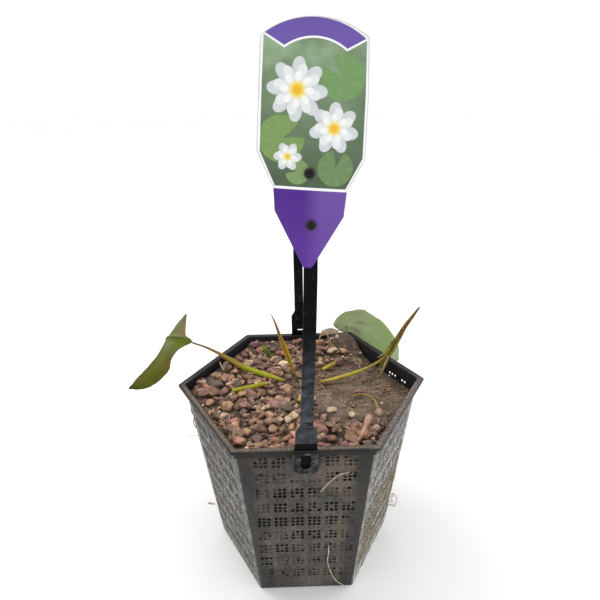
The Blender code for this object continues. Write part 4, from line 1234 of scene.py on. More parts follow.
# Loose bits of dead plant: name, colours, and each bit's route and radii
BITS = (
    ("dead_leaf_loop", ((204, 186, 160), (164, 140, 112), (120, 94, 74)), (
        (((19.0, 75.0, 154.1), (19.6, 75.0, 157.2), (21.1, 75.0, 160.4), (23.0, 75.0, 162.1),
          (24.9, 75.0, 162.0), (26.6, 75.0, 159.4), (27.4, 75.0, 155.7)), (0.5,) * 7),
        (loop_facing((30.7, 72.0, 154.9), 1.7), (0.75,) * 9),
        (((34.9, 74.0, 153.2), (35.4, 73.8, 155.4), (35.6, 74.0, 157.6), (35.4, 74.4, 159.2)),
         (1.1, 2.0, 1.8, 0.7)),
        (((29.7, 71.0, 152.0), (26.6, 66.8, 151.8), (23.1, 61.8, 151.4)), (0.5, 0.65, 0.4)))),
    ("dead_leaf_bone", ((186, 152, 132), (140, 104, 88), (96, 68, 56)), (
        (((48.9, -44.6, 151.0), (47.6, -47.8, 151.4), (44.6, -54.6, 151.0), (40.8, -64.2, 150.7),
          (36.8, -70.2, 149.9)), (2.2, 3.0, 1.9, 1.3, 0.9)),
        (((57.1, -40.4, 148.4), (57.3, -38.2, 149.2), (57.0, -35.6, 149.0), (56.6, -33.9, 148.2)),
         (1.6, 3.1, 3.0, 1.4)),
        (((51.2, -58.6, 148.4), (52.1, -56.4, 149.2), (52.4, -53.6, 148.8)), (1.8, 3.3, 1.8)),
        (loop_facing((47.4, -65.3, 149.5), 1.8), (0.6,) * 9))),
    ("dead_leaf_red", ((96, 48, 40), (78, 38, 34), (48, 26, 24)), (
        (loop_facing((34.5, -61.1, 149.4), 2.0, start=0.4, turn=4.4, count=7), (0.5,) * 7),
        (loop_facing((56.2, -53.8, 149.2), 2.4, start=2.2, turn=4.0, count=7), (0.6,) * 7))),
    ("pink_lump", ((164, 124, 108), (132, 92, 78), (92, 62, 52)), (
        (((43.4, -1.4, 144.2), (45.4, -1.0, 145.0), (48.0, -0.8, 145.0), (50.2, -1.2, 144.2)),
         (0.9, 1.7, 1.6, 0.8)),)),
    ("twigs_dark", ((62, 44, 34), (48, 34, 28), (34, 24, 20)), (
        (((-24.2, 12.2, 148.0), (-21.2, 6.7, 148.2), (-17.0, -0.3, 148.0)), (0.35, 0.4, 0.3)),
        (((-10.4, 16.3, 146.2), (-8.6, 18.4, 146.6), (-6.9, 18.5, 146.6), (-4.8, 17.3, 146.4),
          (-3.6, 14.4, 146.0)), (0.4,) * 5))),
    ("twigs_pale", ((206, 188, 158), (170, 146, 114), (130, 104, 80)), (
        (((-75.5, 50.3, 152.6), (-72.0, 42.9, 153.0), (-69.3, 34.1, 152.9), (-65.8, 25.5, 152.4)),
         (0.35, 0.5, 0.45, 0.3)),)),
    ("yellow_sprout", ((196, 176, 60), (168, 146, 50), (120, 100, 44)), (
        (((-51.6, -5.3, 148.6), (-49.3, -4.2, 149.3), (-46.1, -3.1, 149.0)), (0.7, 0.9, 0.4)),)),
)


def blade(name, rows, along_steps, across_steps, thickness, paint, node, crinkle=0.0, seed=1):
    """A leaf blade: a smooth surface through rows of points, with a little crinkle, given its thickness."""
    lines = [smooth_route(row, across_steps) for row in rows]
    strips = [smooth_route([line[k] for line in lines], along_steps) for k in range(len(lines[0]))]
    count, length = len(strips), len(strips[0])
    points, uvs = [], []
    for r in range(length):
        for c in range(count):
            p = strips[c][r]
            sway = crinkle * noise.noise(Vector(p) * 0.22 + Vector((seed, 0, 0)))
            points.append(p + np.array((0.0, sway, sway * 0.6)))
            uvs.append((c / (count - 1), r / (length - 1)))
    piece = make_piece(name, points, grid_faces(length, count), paint, [node], uvs=uvs)
    add_modifier(piece, "SOLIDIFY", thickness=thickness * MM, offset=0.0)


def scroll_section(width):
    """Across a young leaf whose edges are rolled in: two rolls with a groove between them in front."""
    right = [(0.0, -0.42), (0.25, -0.5)]
    for angle in range(-90, 151, 24):
        a = radians(angle)
        right.append((0.5 + 0.5 * cos(a), 0.5 * sin(a)))
    right.append((0.06, -0.02))
    left = [(-u, v) for u, v in reversed(right[1:])]
    return [(width * u, width * v) for u, v in right + left]


def rolled_leaf(name, route, widths, paint, node, steps=9, tails=()):
    line = smooth_route(route, steps)
    sizes = smooth_route([(w,) for w in widths], steps)[:, 0]
    rng = random.Random(len(name))
    sections = [scroll_section(max(w * (1 + rng.uniform(-0.03, 0.03)), 0.12)) for w in sizes]
    parts = [capped_loft(line, sections, np.array((0.0, -1.0, 0.0)))]
    for tail, radii in tails:
        points, faces, uvs = strand(tail, radii, sides=8)
        parts.append((points, faces, [(u, 0.04) for u, _ in uvs]))
    make_strands(name, parts, paint, [node])


def stalk(name, route, radii, paint, node, sides=14, steps=8, lumps=0.035):
    part = strand(route, radii, steps=steps, sides=sides, lumps=lumps, seed=len(name))
    make_strands(name, [part], paint, [node])


def plant():
    blade("left_leaf", LEAF_LEFT, 10, 8, LEAF_T, left_leaf_skin(), "leaf_left", crinkle=0.5)
    blade("round_leaf", LEAF_ROUND, 10, 10, LEAF_T, round_leaf_skin(), "leaf_round",
        crinkle=0.8, seed=4)
    rolled_leaf("centre_leaf", LEAF_CENTRE, LEAF_CENTRE_W, centre_leaf_skin(), "leaf_centre")
    rolled_leaf("right_leaf", LEAF_RIGHT, LEAF_RIGHT_W, right_leaf_skin(), "leaf_right",
        tails=LEAF_RIGHT_TAILS)
    rolled_leaf("green_shoot", SHOOT, SHOOT_W, shoot_skin(), "shoot")
    stalk("left_stalk", STALK_LEFT, STALK_LEFT_R, stalk_skin("left_stalk_skin"), "stalk_left")
    stalk("right_stalk", STALK_RIGHT, STALK_RIGHT_R, stalk_skin("right_stalk_skin"), "stalk_right")
    stalk("short_stalk", STALK_SHORT, STALK_SHORT_R, stalk_skin("short_stalk_skin"), "stalk_short")
    stalk("round_leaf_stalk", STALK_ROUND, STALK_ROUND_R, dry_skin("stalk_brown", (110, 108, 76),
        (98, 90, 62), (74, 62, 44)), "stalk_round")
    stalk("back_stub", STUB_BACK, STUB_BACK_R, stalk_skin("right_stalk_skin"), "stub_back")
    stalk("front_stub", STUB_FRONT, STUB_FRONT_R, stalk_skin("front_stub_skin"), "stub_front")


def litter():
    blade("curled_dead_leaf", DEAD_LEAF_BACK, 12, 8, 0.6, dry_skin("dead_cream", (164, 142, 122),
        (124, 98, 78), (84, 62, 48), (56, 40, 32)), "dead_leaf_back", crinkle=0.9, seed=2)
    blade("front_dead_leaf", DEAD_LEAF_FRONT, 10, 8, 0.6, dry_skin("dead_pink", (168, 130, 108)),
        "dead_leaf_front", crinkle=1.2, seed=3)
    stalk("dry_stalk_on_mud", DRY_STALK, DRY_STALK_R, dry_skin("dry_straw", (160, 134, 76), (122, 96, 52),
        (84, 62, 38)), "dry_stalk", lumps=0.12)
    for name, paint, strands in BITS:
        parts = [strand(route, radii, lumps=0.16, seed=k) for k, (route, radii) in enumerate(strands)]
        make_strands(name, parts, dry_skin(name, *paint))


def mud_bits():
    """Short bits of root, leaf and twig that lie on the bare mud."""
    rng = random.Random(31)
    pale, dark = [], []

    def lay(parts, route, size, shares, seed):
        parts.append(strand(route, [size * share for share in shares], steps=3, sides=6, lumps=0.2,
            seed=seed))

    while len(pale) + len(dark) < MUD_BITS:
        x, y = rng.uniform(-26, 88), rng.uniform(-62, 72)
        if in_bed(x, y) > 0.3 or from_wall(x, y) < 6:
            continue
        heading = rng.uniform(0, 2 * pi)
        length = rng.uniform(1.2, 3.6) if rng.random() < 0.7 else rng.uniform(4, 9)
        size = rng.uniform(0.16, 0.5)
        route = []
        for _ in range(4):
            route.append((x, y, silt_height(x, y) + size * rng.uniform(0.3, 1.2)))
            heading += rng.gauss(0, 0.5)
            x += length / 3 * cos(heading)
            y += length / 3 * sin(heading)
        lay(pale if rng.random() < 0.5 else dark, route, size, (0.6, 1.0, 0.9, 0.4), len(pale))
    for k in range(CORNER_STRANDS):
        x, y = rng.uniform(27, 60), rng.uniform(50, 70)
        if from_wall(x, y) < 2:
            continue
        route, size = [], rng.uniform(0.2, 0.5)
        for _ in range(5):
            route.append((x, y, silt_height(x, y) + size * rng.uniform(0.2, 1.0)))
            x += rng.gauss(-0.3, 0.8)
            y -= rng.uniform(1.2, 2.8)
        lay(pale if k % 3 == 0 else dark, route, size, (0.6, 1.0, 1.0, 0.8, 0.4), k)
    for name, parts, paint in (("mud_bits_pale", pale, ((190, 166, 130), (150, 122, 90), (110, 84, 62))),
            ("mud_bits_dark", dark, ((92, 64, 48), (66, 44, 34), (44, 30, 25)))):
        make_strands(name, parts, dry_skin(name, *paint))


# Roots and hairs

ROOT_UPPER = ((10.3, -79.2, 113.8), (13.9, -79.9, 119.4), (18.6, -80.7, 125.7), (23.9, -81.3, 130.6),
    (30.5, -81.6, 132.8))
ROOT_LOWER = ((17.3, -72.4, 55.2), (17.1, -71.4, 45.7), (16.5, -70.2, 35.9), (18.2, -69.1, 25.7),
    (20.8, -68.0, 16.6), (24.6, -67.2, 9.1), (31.3, -66.3, 2.3))
ROOT_RIGHT = ((79.8, -1.0, 23.6), (82.6, -1.4, 21.6), (85.2, 0.0, 27.4), (83.4, 1.0, 32.6), (80.0, 0.6, 33.2))
ROOT_LEFT = ((-80.2, 1.6, 27.6), (-83.4, 2.2, 27.6), (-86.5, 2.0, 28.6))


def wall_point(wall, across, z, proud=0.0):
    """A place on a wall's outer face."""
    return np.array(on_wall(30.0 + 60.0 * wall, wall_radius(z) * COS30 + proud, across, z))


def wall_hairs(wall, count, spread, heights, length, radius, seed):
    """Fine roots that lie on a wall, each a short random walk across it."""
    rng = random.Random(seed)
    parts = []
    for k in range(count):
        across, z = rng.uniform(*spread), rng.uniform(*heights)
        heading = rng.uniform(0, 2 * pi)
        route = []
        for _ in range(rng.randint(5, 9)):
            half = wall_radius(z) / 2 - 2.0
            route.append(wall_point(wall, max(-half, min(half, across)), z, radius * rng.uniform(0.5, 1.6)))
            heading += rng.gauss(0, 0.45)
            across += length / 7 * cos(heading)
            z = max(3.0, min(145.0, z + length / 7 * sin(heading)))
        size = radius * rng.uniform(0.6, 1.2)
        parts.append(strand(route, [size] * (len(route) - 1) + [size * 0.4], steps=4, sides=5, lumps=0.1,
            seed=k))
    return parts


def roots():
    paint = dry_skin("root_cream", (206, 192, 168), (166, 146, 122), (120, 102, 84))
    hair_paint = dry_skin("root_hair", (164, 154, 130), (128, 118, 96), (98, 88, 72))
    for name, node, route, radius in (("front_root_upper", "root_front_upper", ROOT_UPPER, 0.42),
            ("front_root_lower", "root_front_lower", ROOT_LOWER, 0.42),
            ("right_root", "root_right", ROOT_RIGHT, 0.4), ("left_root", "root_left", ROOT_LEFT, 0.9)):
        radii = [radius * (1.0 if k % 2 else 0.8) for k in range(len(route))]
        stalk(name, route, radii, paint, node, sides=8, steps=8, lumps=0.12)
    hairs = wall_hairs(FRONT_WALL, 6, (-30, 32), (60, 138), 24.0, 0.1, 5)
    hairs += wall_hairs(RIGHT_FRONT_WALL, 130, (-32, 36), (16, 92), 22.0, 0.2, 6)
    hairs += wall_hairs(LEFT_FRONT_WALL, 12, (-40, 30), (40, 142), 22.0, 0.16, 7)
    for wall in (0, 1, 2):
        hairs += wall_hairs(wall, 14, (-34, 34), (12, 140), 24.0, 0.2, 8 + wall)
    hairs.append(strand(((-87.5, -0.6, 105.4), (-92.4, -1.2, 106.4), (-97.2, -1.4, 105.6),
        (-102.2, -1.8, 106.2)), (0.2, 0.2, 0.16, 0.1), sides=5))
    for k, (y, z) in enumerate(((1.5, 136.0), (3.0, 130.0), (-2.0, 126.0), (2.0, 121.0))):
        foot = -wall_radius(z) + 1.6 + abs(y) * 0.6
        hairs.append(strand(((foot, y, z), (foot - 1.6, y - 1.0, z - 3.0), (foot - 1.2, y - 2.5, z - 7.0),
            (foot + 0.8, y - 3.5, z - 10.5)), (0.4, 0.45, 0.4, 0.15), sides=6, seed=k))
    for k in range(9):
        y, z, away = 2.4 * sin(2.1 * k), 20.0 + 1.7 * k, 3.0 + 2.2 * abs(sin(3.7 * k))
        foot = wall_radius(z) + 0.1 - 0.58 * abs(y)
        hairs.append(strand(((foot, y, z), (foot + away * 0.6, y - 0.6, z + 1.2),
            (foot + away, y - 1.4, z + 3.4 * cos(k))), (0.2, 0.22, 0.1), sides=5, seed=k))
    make_strands("fine_roots", hairs, hair_paint)


# Materials

def basket_plastic():
    """Black plastic, bare inside; dried silt films the outside, thinly at the skirt and corners."""
    s = Shade("basket_skin")
    place = s.place()
    x, y, _ = s.split(place)
    across, height, _ = s.split(s.uv())
    nx, ny, nz = s.split(s.normal())
    outward = x * nx + y * ny
    cloud = s.noise(place, 26.0, 6.0, 0.62)
    fine = s.noise(place, 640.0, 4.0, 0.75)
    drips = s.noise(s.stretch(place, (1.0, 1.0, 0.1)), 520.0, 3.0, 0.6)
    crust = s.noise(place, 1300.0, 3.0, 0.8)
    tone = s.noise(place, 60.0, 5.0, 0.6)
    film = s.scale(cloud * 0.85 + drips * 0.3 + fine * 0.75, 0.74, 1.14, 0.0, 0.95)
    half = height * (WALL_SLOPE / 2) + WALL_FOOT_R / 2
    inset = half - across + (cloud - 0.5) * 22.0
    middle = s.scale(inset, 7.0, 14.0, 0.0, 1.0, smooth=True)
    skirt = s.scale(height, WALL_TOP_Z - 0.4, WALL_TOP_Z)
    film = film * s.fade(middle, 0.22, 1.0) * s.fade(skirt, 1.0, 0.06)
    silt_colour = s.ramp(tone, (0.3, 92, 82, 75), (0.5, 116, 106, 96), (0.72, 103, 101, 96))
    bare = s.ramp(s.noise(place, 300.0, 5.0, 0.75), (0.35, 24, 26, 27), (0.7, 52, 54, 54))
    # Painted shade: the walls grow darker towards the rim, as in the flange's shadow.
    shade = s.scale(height + tone * 40.0, 110.0, 160.0, 1.0, 0.66)
    colour = s.dim(s.mix(film, bare, silt_colour), shade)
    for spot, reach, patch in (((0.027, -0.08, 0.128), 0.021, (116, 100, 88)),
            ((0.028, -0.074, 0.07), 0.014, (98, 92, 62)), ((0.002, -0.075, 0.062), 0.013, (52, 57, 58))):
        away = s.vector("DISTANCE", place, spot)
        near = away + (tone - 0.5) * 0.03
        colour = s.mix(s.scale(near, reach, reach * 0.5, 0.0, 0.75) * middle, colour, patch)
    grit = fine * 0.6 + crust * 0.5
    dark = s.scale(grit, 0.42, 0.56, 0.42, 1.12)
    colour = s.mix(s.fade(skirt, 1.0, 0.3), colour, s.dim(colour, dark))
    specks = s.scale(crust, 0.58, 0.7, 0.0, 0.8) * s.scale(s.noise(place, 70.0), 0.4, 0.58, 0.3, 1.0)
    specks = specks * s.fade(middle, 0.35, 1.0) * s.fade(skirt, 1.0, 0.35)
    colour = s.mix(specks, colour, (150, 144, 134))
    # Painted reflection: side walls go pale silver, streaked like the film, with less of it higher up.
    sideways = s.scale(abs(nx), 0.3, 0.6)
    wash = s.noise(s.stretch(place, (1.0, 1.0, 0.4)), 330.0, 5.0, 0.75)
    streaks_and_sheen = s.ramp(wash, (0.36, 34, 34, 33), (0.45, 96, 95, 92), (0.57, 136, 135, 131),
        (0.68, 214, 212, 206))
    # Painted light: the right side walls are lighter still, most of all low down.
    right_wall_light = s.scale(height, 60.0, 0.0, 1.9, 2.5)
    streaks_and_sheen = s.over(streaks_and_sheen, x, 0.0, 0.02, s.dim(streaks_and_sheen, right_wall_light))
    much = s.scale(height + cloud * 60.0, 130.0, 176.0, 0.8, 0.35)
    much = sideways * much * s.fade(skirt, 1.0, 0.35)
    colour = s.mix(much, colour, streaks_and_sheen)
    # Painted shadow: the flange's outer edge is near black.
    lip = s.scale(height, RIM_Z - FLANGE_T - 0.1, RIM_Z - FLANGE_T) * s.scale(nz, 0.6, 0.4)
    colour = s.mix(lip * 0.9, colour, (10, 10, 11))
    colour = s.over((11, 11, 13), outward, 0.02, 0.05, colour)
    brown = s.ramp(fine, (0.3, 52, 43, 34), (0.46, 98, 84, 69), (0.62, 134, 116, 98))
    grey = s.ramp(fine, (0.34, 52, 45, 42), (0.5, 108, 96, 90), (0.66, 158, 144, 136))
    black = s.ramp(fine, (0.4, 12, 12, 14), (0.6, 30, 31, 32), (0.7, 84, 82, 79))
    along_right = x * cos(radians(-30)) - y * 0.5
    top = s.over(brown, along_right, 0.078, 0.081, grey)
    top = s.mix(s.scale(y, 0.012, -0.012, 1.0, 0.0), top, black)
    # Painted shadow: dark bands along the rim top's inner and outer edges, fainter on the right-front wall.
    walls = [(cos(radians(bearing)), sin(radians(bearing)), 0.0) for bearing in (30, 90, 150)]
    span = s.most(*(abs(s.vector("DOT_PRODUCT", place, wall)) for wall in walls))
    span = span + (s.noise(place, 160.0, 4.0, 0.6) - 0.5) * 0.0016
    dark_bands = s.most(s.scale(span, 0.0819, 0.0825, 1.0, 0.0), s.scale(span, 0.0845, 0.0853))
    dark_bands = dark_bands * s.scale(along_right, 0.078, 0.081, 0.85, 0.35)
    top = s.mix(dark_bands, top, (20, 19, 19))
    colour = s.over(colour, nz, 0.6, 0.9, top)
    relief = fine * 1.4 + (drips + crust * 0.8)
    return s.finish(colour, s.fade(film, 0.34, 0.6), s.bump(relief, 0.7), specular=0.25)


@functools.cache
def bracket_plastic():
    """Black plastic under a thin and patchy film of silt."""
    s = Shade("bracket_plastic")
    place = s.place()
    y = s.split(place)[1]
    cloud = s.noise(place, 240.0, 6.0, 0.7)
    colour = s.ramp(cloud, (0.38, 10, 10, 12), (0.5, 40, 40, 41), (0.64, 88, 88, 88))
    # Painted shade: near black behind the front bracket's face and in its window, and all over the back
    # bracket.
    inside = s.scale(y, -0.0866, -0.0858)
    colour = s.mix(inside, colour, (6, 6, 7))
    return s.finish(colour, s.grade(cloud, 0.3, 0.6), s.bump(cloud, 0.25), specular=0.15)


def strap_plastic():
    """Smooth black plastic, greyer with dried silt low down, with a few scuffs, drops and small marks."""
    s = Shade("strap_skin")
    place = s.place()
    _, y, z = s.split(place)
    cloud = s.noise(place, 120.0, 6.0, 0.7)
    low = s.scale(z, 0.19, 0.244, 1.0, 0.0, smooth=True)
    clean = s.ramp(cloud, (0.3, 2, 2, 4), (0.7, 9, 9, 13))
    dusty = s.ramp(cloud, (0.34, 38, 40, 44), (0.5, 58, 61, 65), (0.64, 84, 88, 92))
    colour = s.mix(low, clean, dusty)
    bars = s.noise(s.stretch(place, (0.5, 0.5, 2.2)), 210.0, 3.0, 0.55)
    dark_bands = s.scale(bars, 0.56, 0.62, 0.0, 0.9) * s.scale(z, 0.235, 0.18) * s.scale(z, 0.168, 0.174)
    colour = s.mix(dark_bands, colour, (8, 8, 11))
    # Painted shadow: the clip is near black at its foot, where it goes into the flange.
    colour = s.mix(s.scale(z, 0.1604, 0.161, 1.0, 0.0), colour, (5, 5, 6))
    colour = s.over(colour, y, 0.07, 0.08, (8, 8, 10), 0.85)
    # Water drops, bumped, and painted pale blue-grey as their highlights.
    drops = s.scale(s.cells(place, 420.0), 0.16, 0.3, 1.0, 0.0, smooth=True)
    drops = drops * s.scale(s.noise(place, 60.0), 0.5, 0.6) * s.scale(z, 0.163, 0.168)
    colour = s.mix(drops * s.fade(low, 0.2, 0.5), colour, (104, 110, 118))
    scuff = s.bump(s.noise(s.stretch(place, (5.0, 5.0, 0.7)), 160.0), 0.1)
    relief = drops - dark_bands * 0.8
    return s.finish(colour, s.grade(cloud, 0.3, 0.5), s.bump(relief, 0.4, scuff), specular=0.07)


@functools.cache
def stud_plastic():
    s = Shade("stud_plastic")
    grain = s.noise(s.place(), 500.0, 4.0, 0.6)
    # The tint carries the painted highlight ring.
    colour = s.times(s.ramp(grain, (0.3, 9, 9, 11), (0.8, 22, 22, 24)), s.tint())
    return s.finish(colour, s.grade(grain, 0.1, 0.2), s.bump(grain, 0.05), specular=0.2)


def mud():
    """Wet silt: fine grains, streaks and crumbs, darker and smoother where it is wetter."""
    s = Shade("wet_mud")
    place = s.place()
    z = s.split(place)[2]
    patches = s.noise(place, 70.0, 6.0, 0.7, 0.9)
    grains = s.noise(place, 900.0, 4.0, 0.75)
    crumbs = s.cells(place, 560.0)
    streaks = s.noise(s.stretch(place, (0.35, 1.6, 1.0), (0.0, 0.0, 0.5)), 190.0, 5.0, 0.7)
    colour = s.ramp(patches, (0.32, 70, 53, 42), (0.46, 112, 91, 73), (0.57, 150, 130, 110),
        (0.7, 90, 74, 62))
    colour = s.over(colour, streaks, 0.48, 0.6, (66, 49, 38), 0.65)
    colour = s.over(colour, grains, 0.46, 0.62, (54, 41, 33), 0.7)
    light = s.scale(crumbs, 0.0, 0.26, 1.0, 0.0) * s.scale(s.noise(place, 160.0), 0.48, 0.6, 0.0, 0.9)
    colour = s.mix(light, colour, (188, 170, 148))
    colour = s.times(colour, s.tint())
    # Painted shade: below its top the mud is near black, as seen through open holes.
    colour = s.mix(s.scale(z, 0.1335, 0.1375, 1.0, 0.0), colour, (12, 11, 10))
    ripple = grains * 0.6 + s.noise(place, 240.0, 5.0, 0.7) * 1.4
    return s.finish(colour, s.scale(patches, 0.35, 0.65, 0.45, 0.85), s.bump(ripple, 1.7))


def wall_silt():
    """The silt in the clogged holes: as the film on the wall, lighter or darker from hole to hole."""
    s = Shade("wall_silt")
    place = s.place()
    tone = s.noise(place, 60.0, 5.0, 0.6)
    colour = s.ramp(tone, (0.3, 66, 60, 56), (0.5, 80, 73, 67), (0.72, 74, 73, 69))
    # Painted reflection: on the side walls the silt is lighter, as the film there.
    sideways = s.scale(abs(s.split(s.normal())[0]), 0.3, 0.6)
    colour = s.mix(sideways * 0.6, colour, (104, 102, 98))
    colour = s.times(colour, s.tint())
    return s.finish(colour, 0.85, s.bump(s.noise(place, 900.0, 4.0, 0.7), 0.3), specular=0.3)


@functools.cache
def stone_skin():
    """Each stone's own colour, mottled and grained, with mud in its hollows."""
    s = Shade("stone_skin")
    place = s.place()
    mottle = s.noise(place, 240.0, 6.0, 0.65, 0.5)
    grain = s.noise(place, 1400.0, 4.0, 0.75)
    shades = s.ramp(mottle, (0.3, 0.52, 0.5, 0.5), (0.52, 0.98, 0.96, 0.95), (0.74, 1.36, 1.36, 1.38),
        linear=True)
    colour = s.times(s.tint(), shades)
    colour = s.over(colour, grain, 0.58, 0.74, (70, 54, 48), 0.6)
    muddy = s.scale(s.noise(place, 130.0, 5.0, 0.65), 0.45, 0.6, 0.0, 0.75)
    colour = s.mix(muddy, colour, (106, 84, 70))
    return s.finish(colour, s.grade(mottle, 0.42, 0.8),
        s.bump(mottle + s.cells(place, 300.0) + grain * 0.4, 0.9))


def leaf_finish(s, colour, rough, height, depth):
    return s.finish(colour, rough, s.bump(height, depth), specular=0.13)


def left_leaf_skin():
    """The folded leaf: an olive blade with a grey shoulder, a green collar, a dark line and a pale lobe."""
    s = Shade("left_leaf_skin")
    place = s.place()
    u, v, _ = s.split(s.uv())
    along = v + (s.noise(place, 90.0, 4.0, 0.6) - 0.5) * 0.05
    low = s.ramp(along, (0.0, 76, 74, 8), (0.1, 84, 88, 2), (0.26, 86, 92, 6), (0.38, 98, 106, 46),
        (0.5, 116, 126, 82), (0.6, 120, 132, 76), (0.65, 86, 106, 22), (0.69, 52, 66, 14),
        (0.74, 138, 146, 90), (0.86, 146, 152, 108), (1.0, 136, 150, 118))
    right = s.ramp(along, (0.0, 70, 74, 8), (0.14, 88, 92, 6), (0.3, 104, 100, 24), (0.42, 128, 112, 48),
        (0.5, 134, 126, 78), (0.6, 128, 136, 46), (0.66, 104, 118, 26), (0.7, 66, 76, 18),
        (0.75, 156, 142, 96), (0.88, 166, 148, 112), (1.0, 148, 148, 118))
    colour = s.over(low, u, 0.3, 0.85, right, smooth=True)
    edge = s.most(s.scale(u, 0.05, 0.0, 0.0, 0.7), s.scale(u, 0.95, 1.0, 0.0, 0.7))
    colour = s.mix(edge, colour, (50, 50, 24))
    veins = s.bands(s.join(u * 5.0 + v * -3.0, 0.0), 1.4, 1.2)
    colour = s.mix(veins * 0.1, colour, (150, 156, 90))
    return leaf_finish(s, colour, s.grade(s.noise(place, 400.0), 0.4, 0.6), veins, 0.25)


def round_leaf_skin():
    """The pale underside of a round leaf: grey-green, yellower towards the rim, which is thin and darker."""
    s = Shade("round_leaf_skin")
    place = s.place()
    u, v, _ = s.split(s.uv())
    cloud = s.noise(place, 50.0, 4.0, 0.55)
    colour = s.ramp(cloud, (0.3, 134, 148, 104), (0.55, 143, 155, 114), (0.75, 154, 163, 128))
    colour = s.over(colour, v, 0.45, 0.7, (116, 144, 84), 0.6)
    colour = s.over(colour, v, 0.82, 0.95, (170, 174, 150), 0.8)
    rim = s.least(u, 1.0 - u, v * 1.6, (1.0 - v) * 1.6)
    colour = s.mix(s.scale(rim, 0.0, 0.16, 0.55, 0.0, smooth=True), colour, (146, 162, 92))
    colour = s.mix(s.scale(rim, 0.0, 0.035, 0.75, 0.0), colour, (92, 104, 60))
    fan = s.math("ARCTAN2", v - 0.42, u - 1.0)
    veins = s.bands(s.join(fan, 0.0), 2.6, 0.4)
    colour = s.over(colour, veins, 0.7, 1.0, (174, 186, 148), 0.06)
    # Painted shade: a dark line along a crease.
    crease = abs(u + v - 0.92)
    crease = s.scale(crease, 0.024, 0.006) * s.scale(v, 0.34, 0.4) * s.scale(v, 0.58, 0.5)
    colour = s.mix(crease * 0.7, colour, (72, 82, 54))
    bruise = s.vector("DISTANCE", s.join(u, v), (0.78, 0.38, 0.0))
    colour = s.over(colour, bruise, 0.13, 0.05, (128, 110, 84), 0.6)
    return leaf_finish(s, colour, s.grade(cloud, 0.42, 0.6), veins, 0.12)


def centre_leaf_skin():
    """Yellow-green rolls with a brown seam and orange streaks, a green foot, pink then grey at the tip."""
    s = Shade("centre_leaf_skin")
    place = s.place()
    u, v, _ = s.split(s.uv())
    colour = s.ramp(v, (0.0, 58, 46, 34), (0.09, 70, 66, 38), (0.15, 98, 122, 48), (0.26, 150, 144, 40),
        (0.5, 168, 148, 40), (0.68, 150, 124, 50), (0.78, 146, 104, 88), (0.9, 136, 104, 104),
        (1.0, 104, 98, 98))
    streak = s.noise(s.join(u * 14.0, v * 3.0), 1.0, 3.0, 0.6)
    colour = s.over(colour, streak, 0.42, 0.68, (186, 118, 52), 0.6)
    seam = s.scale(abs(u - 0.5), 0.03, 0.11, 0.9, 0.0)
    colour = s.mix(seam, colour, (96, 66, 28))
    return leaf_finish(s, colour, s.grade(streak, 0.38, 0.55), s.noise(place, 900.0), 0.15)


def right_leaf_skin():
    """Ochre speckled with dark brown above, green streaked with yellow below, and a pinkish cut foot."""
    s = Shade("right_leaf_skin")
    place = s.place()
    u, v, _ = s.split(s.uv())
    colour = s.ramp(v, (0.0, 176, 142, 110), (0.1, 150, 124, 70), (0.18, 134, 128, 44), (0.4, 122, 126, 34),
        (0.56, 128, 112, 44), (0.74, 142, 102, 52), (0.9, 128, 86, 44), (0.96, 84, 58, 32),
        (1.0, 70, 54, 38))
    blotch = s.noise(place, 420.0, 4.0, 0.7)
    much = s.scale(v, 0.3, 0.6, 0.45, 0.85)
    colour = s.mix(s.scale(blotch, 0.44, 0.6) * much, colour, (66, 48, 20))
    streak = s.noise(s.join(u * 16.0, v * 4.0), 1.0, 3.0, 0.6)
    colour = s.over(colour, streak, 0.5, 0.66, (158, 156, 62), 0.6)
    seam = s.scale(abs(u - 0.5), 0.0, 0.08, 0.85, 0.0)
    colour = s.mix(seam, colour, (62, 54, 20))
    return leaf_finish(s, colour, s.grade(blotch, 0.4, 0.6), blotch, 0.2)


def shoot_skin():
    s = Shade("shoot_skin")
    v = s.split(s.uv())[1]
    grain = s.noise(s.place(), 500.0, 3.0, 0.6)
    colour = s.ramp(v, (0.0, 58, 86, 26), (0.55, 96, 136, 34), (1.0, 184, 168, 44))
    colour = s.over(colour, grain, 0.4, 0.7, (44, 70, 20), 0.5)
    return leaf_finish(s, colour, s.grade(grain, 0.35, 0.5), grain, 0.15)


STALK_SKINS = {
    "left_stalk_skin": ((0.0, 92, 84, 48), (0.04, 160, 164, 70), (0.12, 172, 182, 42), (0.28, 160, 166, 34),
        (0.34, 156, 140, 46), (0.5, 152, 118, 50), (0.6, 150, 112, 60), (0.68, 112, 84, 48),
        (1.0, 84, 60, 42)),
    "right_stalk_skin": ((0.0, 172, 138, 78), (0.12, 212, 192, 92), (0.4, 192, 180, 62),
        (0.7, 178, 158, 72), (1.0, 160, 132, 66)),
    "short_stalk_skin": ((0.0, 190, 180, 70), (0.1, 170, 170, 40), (0.7, 172, 174, 40),
        (0.85, 186, 164, 96), (1.0, 124, 96, 66)),
    "front_stub_skin": ((0.0, 170, 150, 60), (0.6, 204, 186, 96), (1.0, 220, 206, 150)),
}


def stalk_skin(name):
    """A stalk's colour along its length, with fine streaks and a few dark specks."""
    s = Shade(name)
    place = s.place()
    u, v, _ = s.split(s.uv())
    wobble = (s.noise(place, 200.0, 3.0, 0.5) - 0.5) * 0.1
    colour = s.ramp(v + wobble, *STALK_SKINS[name])
    streak = s.noise(s.join(u * 18.0, v * 5.0), 1.0, 4.0, 0.6)
    colour = s.mix(s.scale(streak, 0.38, 0.58, 0.6, 0.0), colour, (104, 88, 30))
    specks = s.scale(s.noise(place, 700.0, 3.0, 0.6), 0.56, 0.66, 0.0, 0.6)
    colour = s.mix(specks, colour, (84, 62, 30))
    return leaf_finish(s, colour, s.grade(streak, 0.32, 0.5), streak, 0.25)


